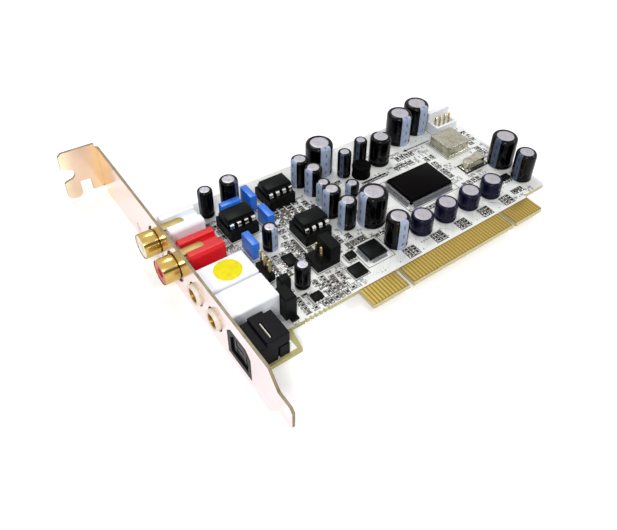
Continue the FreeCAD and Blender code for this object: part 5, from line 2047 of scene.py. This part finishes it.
@dataclass
class Studio:
    """The pale floor, the lamps and the camera."""

    lens: float = 37.66
    sensor: float = 36.0
    shift: tuple[float, float] = (-0.1332, -0.1183)
    place: Point = (-0.105597, -0.132562, 0.153094)
    right: Point = (0.76564555, -0.63752643, 0.08571424)
    up: Point = (0.357458, 0.53245304, 0.76727931)
    back: Point = (-0.53479965, -0.55682475, 0.63555923)
    world_level: float = 0.42
    floor_half: float = 1.6
    floor_drop: float = 0.00005
    glow_near: float = 0.15
    glow_far: float = 0.7
    white: Color = (1.0, 1.0, 1.0, 1.0)

    def build(self) -> None:
        """Set the stage."""
        self.floor()
        self.world()
        self.lamp("key", (-0.46, -0.54, 0.66), 0.2, 3.8)
        self.lamp("fill", (0.65, -0.35, 0.55), 0.16, 2.0)
        self.lamp("top", (0.1, 0.5, 0.85), 0.3, 2.7)
        self.camera()
        bpy.context.scene.view_settings.view_transform = "Standard"

    def floor(self) -> None:
        """Lay the floor, seen as white and keeping the object's shadow."""
        part = bmesh.new()
        bmesh.ops.create_grid(part, x_segments=1, y_segments=1, size=self.floor_half)
        bmesh.ops.translate(part, vec=(0, 0, -self.floor_drop), verts=part.verts)
        mesh = bpy.data.meshes.new("floor")
        part.to_mesh(mesh)
        part.free()
        mesh.materials.append(self.paper())
        item = placed("floor", mesh)

    def paper(self) -> bpy.types.Material:
        """Make the floor's paper, which glows more with distance so that its rim stays white.

        Returns:
            The material.
        """
        material = bpy.data.materials.new("floor_paper")
        material.use_nodes = True
        nodes = material.node_tree.nodes
        w = Wiring(material.node_tree)
        plain = w.give(w.surface, Base_Color=(0.9, 0.9, 0.9, 1.0), Roughness=0.7,
                       Specular_IOR_Level=0.1).outputs[0]
        across, along, _ = w.split(w.places((1.0, 1.0, 1.0)))
        far = w.step(w.reach(across, along), self.glow_near, self.glow_far)
        glow = w.give(w.add("Emission"), Color=self.white,
                      Strength=w.sum("MULTIPLY_ADD", far, 0.7, 0.3))
        both = w.fill(w.add("AddShader"), plain, glow.outputs[0]).outputs[0]
        w.give(nodes["Material Output"], Surface=w.choose(w.watched(), plain, both))
        return material

    def world(self) -> None:
        """Light evenly from all round, and show white to the camera and in reflections."""
        world = bpy.data.worlds.new("studio")
        bpy.context.scene.world = world
        world.use_nodes = True
        nodes = world.node_tree.nodes
        w = Wiring(world.node_tree)
        lit, seen = (w.give(node, Color=self.white, Strength=strength).outputs[0]
                     for node, strength in ((nodes["Background"], self.world_level),
                                            (w.add("Background"), 1.0)))
        w.give(nodes["World Output"], Surface=w.choose(w.watched(), lit, seen))

    def lamp(self, name: str, place: Point, size: float, power: float) -> None:
        """Hang a soft square lamp that faces the card.

        Args:
            name: The lamp's name.
            place: Where it hangs, in metres.
            size: Its side in metres.
            power: Its power in watts.
        """
        light = bpy.data.lights.new(name, "AREA")
        light.shape, light.size, light.energy = "SQUARE", size, power
        item = placed(name, light)
        item.location = place
        item.rotation_euler = (-Vector(place)).to_track_quat("-Z", "Y").to_euler()

    def camera(self) -> None:
        """Stand the camera where the photograph was taken from."""
        data = bpy.data.cameras.new("photo_camera")
        data.lens, data.sensor_width = self.lens, self.sensor
        data.shift_x, data.shift_y = self.shift
        data.clip_start, data.clip_end = 0.005, 10.0
        item = placed("photo_camera", data)
        turn = Matrix((self.right, self.up, self.back)).transposed()
        item.matrix_world = Matrix.Translation(self.place) @ turn.to_4x4()
        bpy.context.scene.camera = item


def upright_capacitors() -> list[RadialCan]:
    """List the round capacitors with the way that each one's stripe faces.

    Returns:
        The capacitors in the order of their nodes.
    """
    # On the dim sleeves the narrow stripe stands partly for the real stripe and partly for a painted
    # bluish highlight streak.
    facings = ((186, DIM_STRIPE_GLINT_SLEEVE), (301, DIM_STRIPE_GLINT_SLEEVE), (286, SLEEVE), (186, SLEEVE),
               (267, WIDE_SLEEVE), (198, SLEEVE), (211, DIM_STRIPE_GLINT_SLEEVE), (211, DIM_STRIPE_GLINT_SLEEVE),
               (60, WIDE_SLEEVE), (196, SLEEVE), (189, SLEEVE), (190, SLEEVE), (187, SLEEVE),
               (177, WIDE_SLEEVE), (268, WIDE_SLEEVE), (273, WIDE_SLEEVE), (186, DIM_STRIPE_GLINT_SLEEVE),
               (180, DIM_STRIPE_GLINT_SLEEVE), (263, WIDE_SLEEVE), (60, SLEEVE))
    return [RadialCan("capacitor_%02d" % number, facing, sleeve)
            for number, (facing, sleeve) in enumerate(facings, 1)]


def main() -> None:
    """Build the card's sub-assemblies in order and report each piece."""
    Studio().build()
    assemblies = [
        SmallParts(), BoardPanel(), SolderSide(), RearBracket(),
        PhonoSocket("upper", WHITE_PLASTIC, WHITE_INSERT),
        PhonoSocket("lower", RED_PLASTIC, RED_INSERT),
        SmallJack("upper"), SmallJack("lower"), RoundLabel(), OpticalSocket(),
        *upright_capacitors(), RadialCan("flat_capacitors", 100.0, NAVY_SLEEVE, bare=0.77),
        FilmCapacitors(), *map(SocketedAmplifier, "123"),
        LeadedChip("controller_chip", "controller_package", GLOSSY_CHIP, body=(20.0, 14.0),
                   leads=(38, 26), reach=1.6, lift=0.3, draft=0.25),
        LeadedChip("converter_chip", "converter_package", CHIP_PLASTIC, body=(7.0, 7.0),
                   leads=(12, 12), reach=1.0, lift=0.1, draft=0.15),
        ClockParts(), Headers(),
    ]
    for assembly in assemblies:
        assembly.build()
    for piece in MADE:
        LOG.info("%s: %d faces", piece.name, len(piece.data.polygons))


if __name__ == "__main__":
    logging.basicConfig(level=logging.INFO, format="%(message)s")
    main()
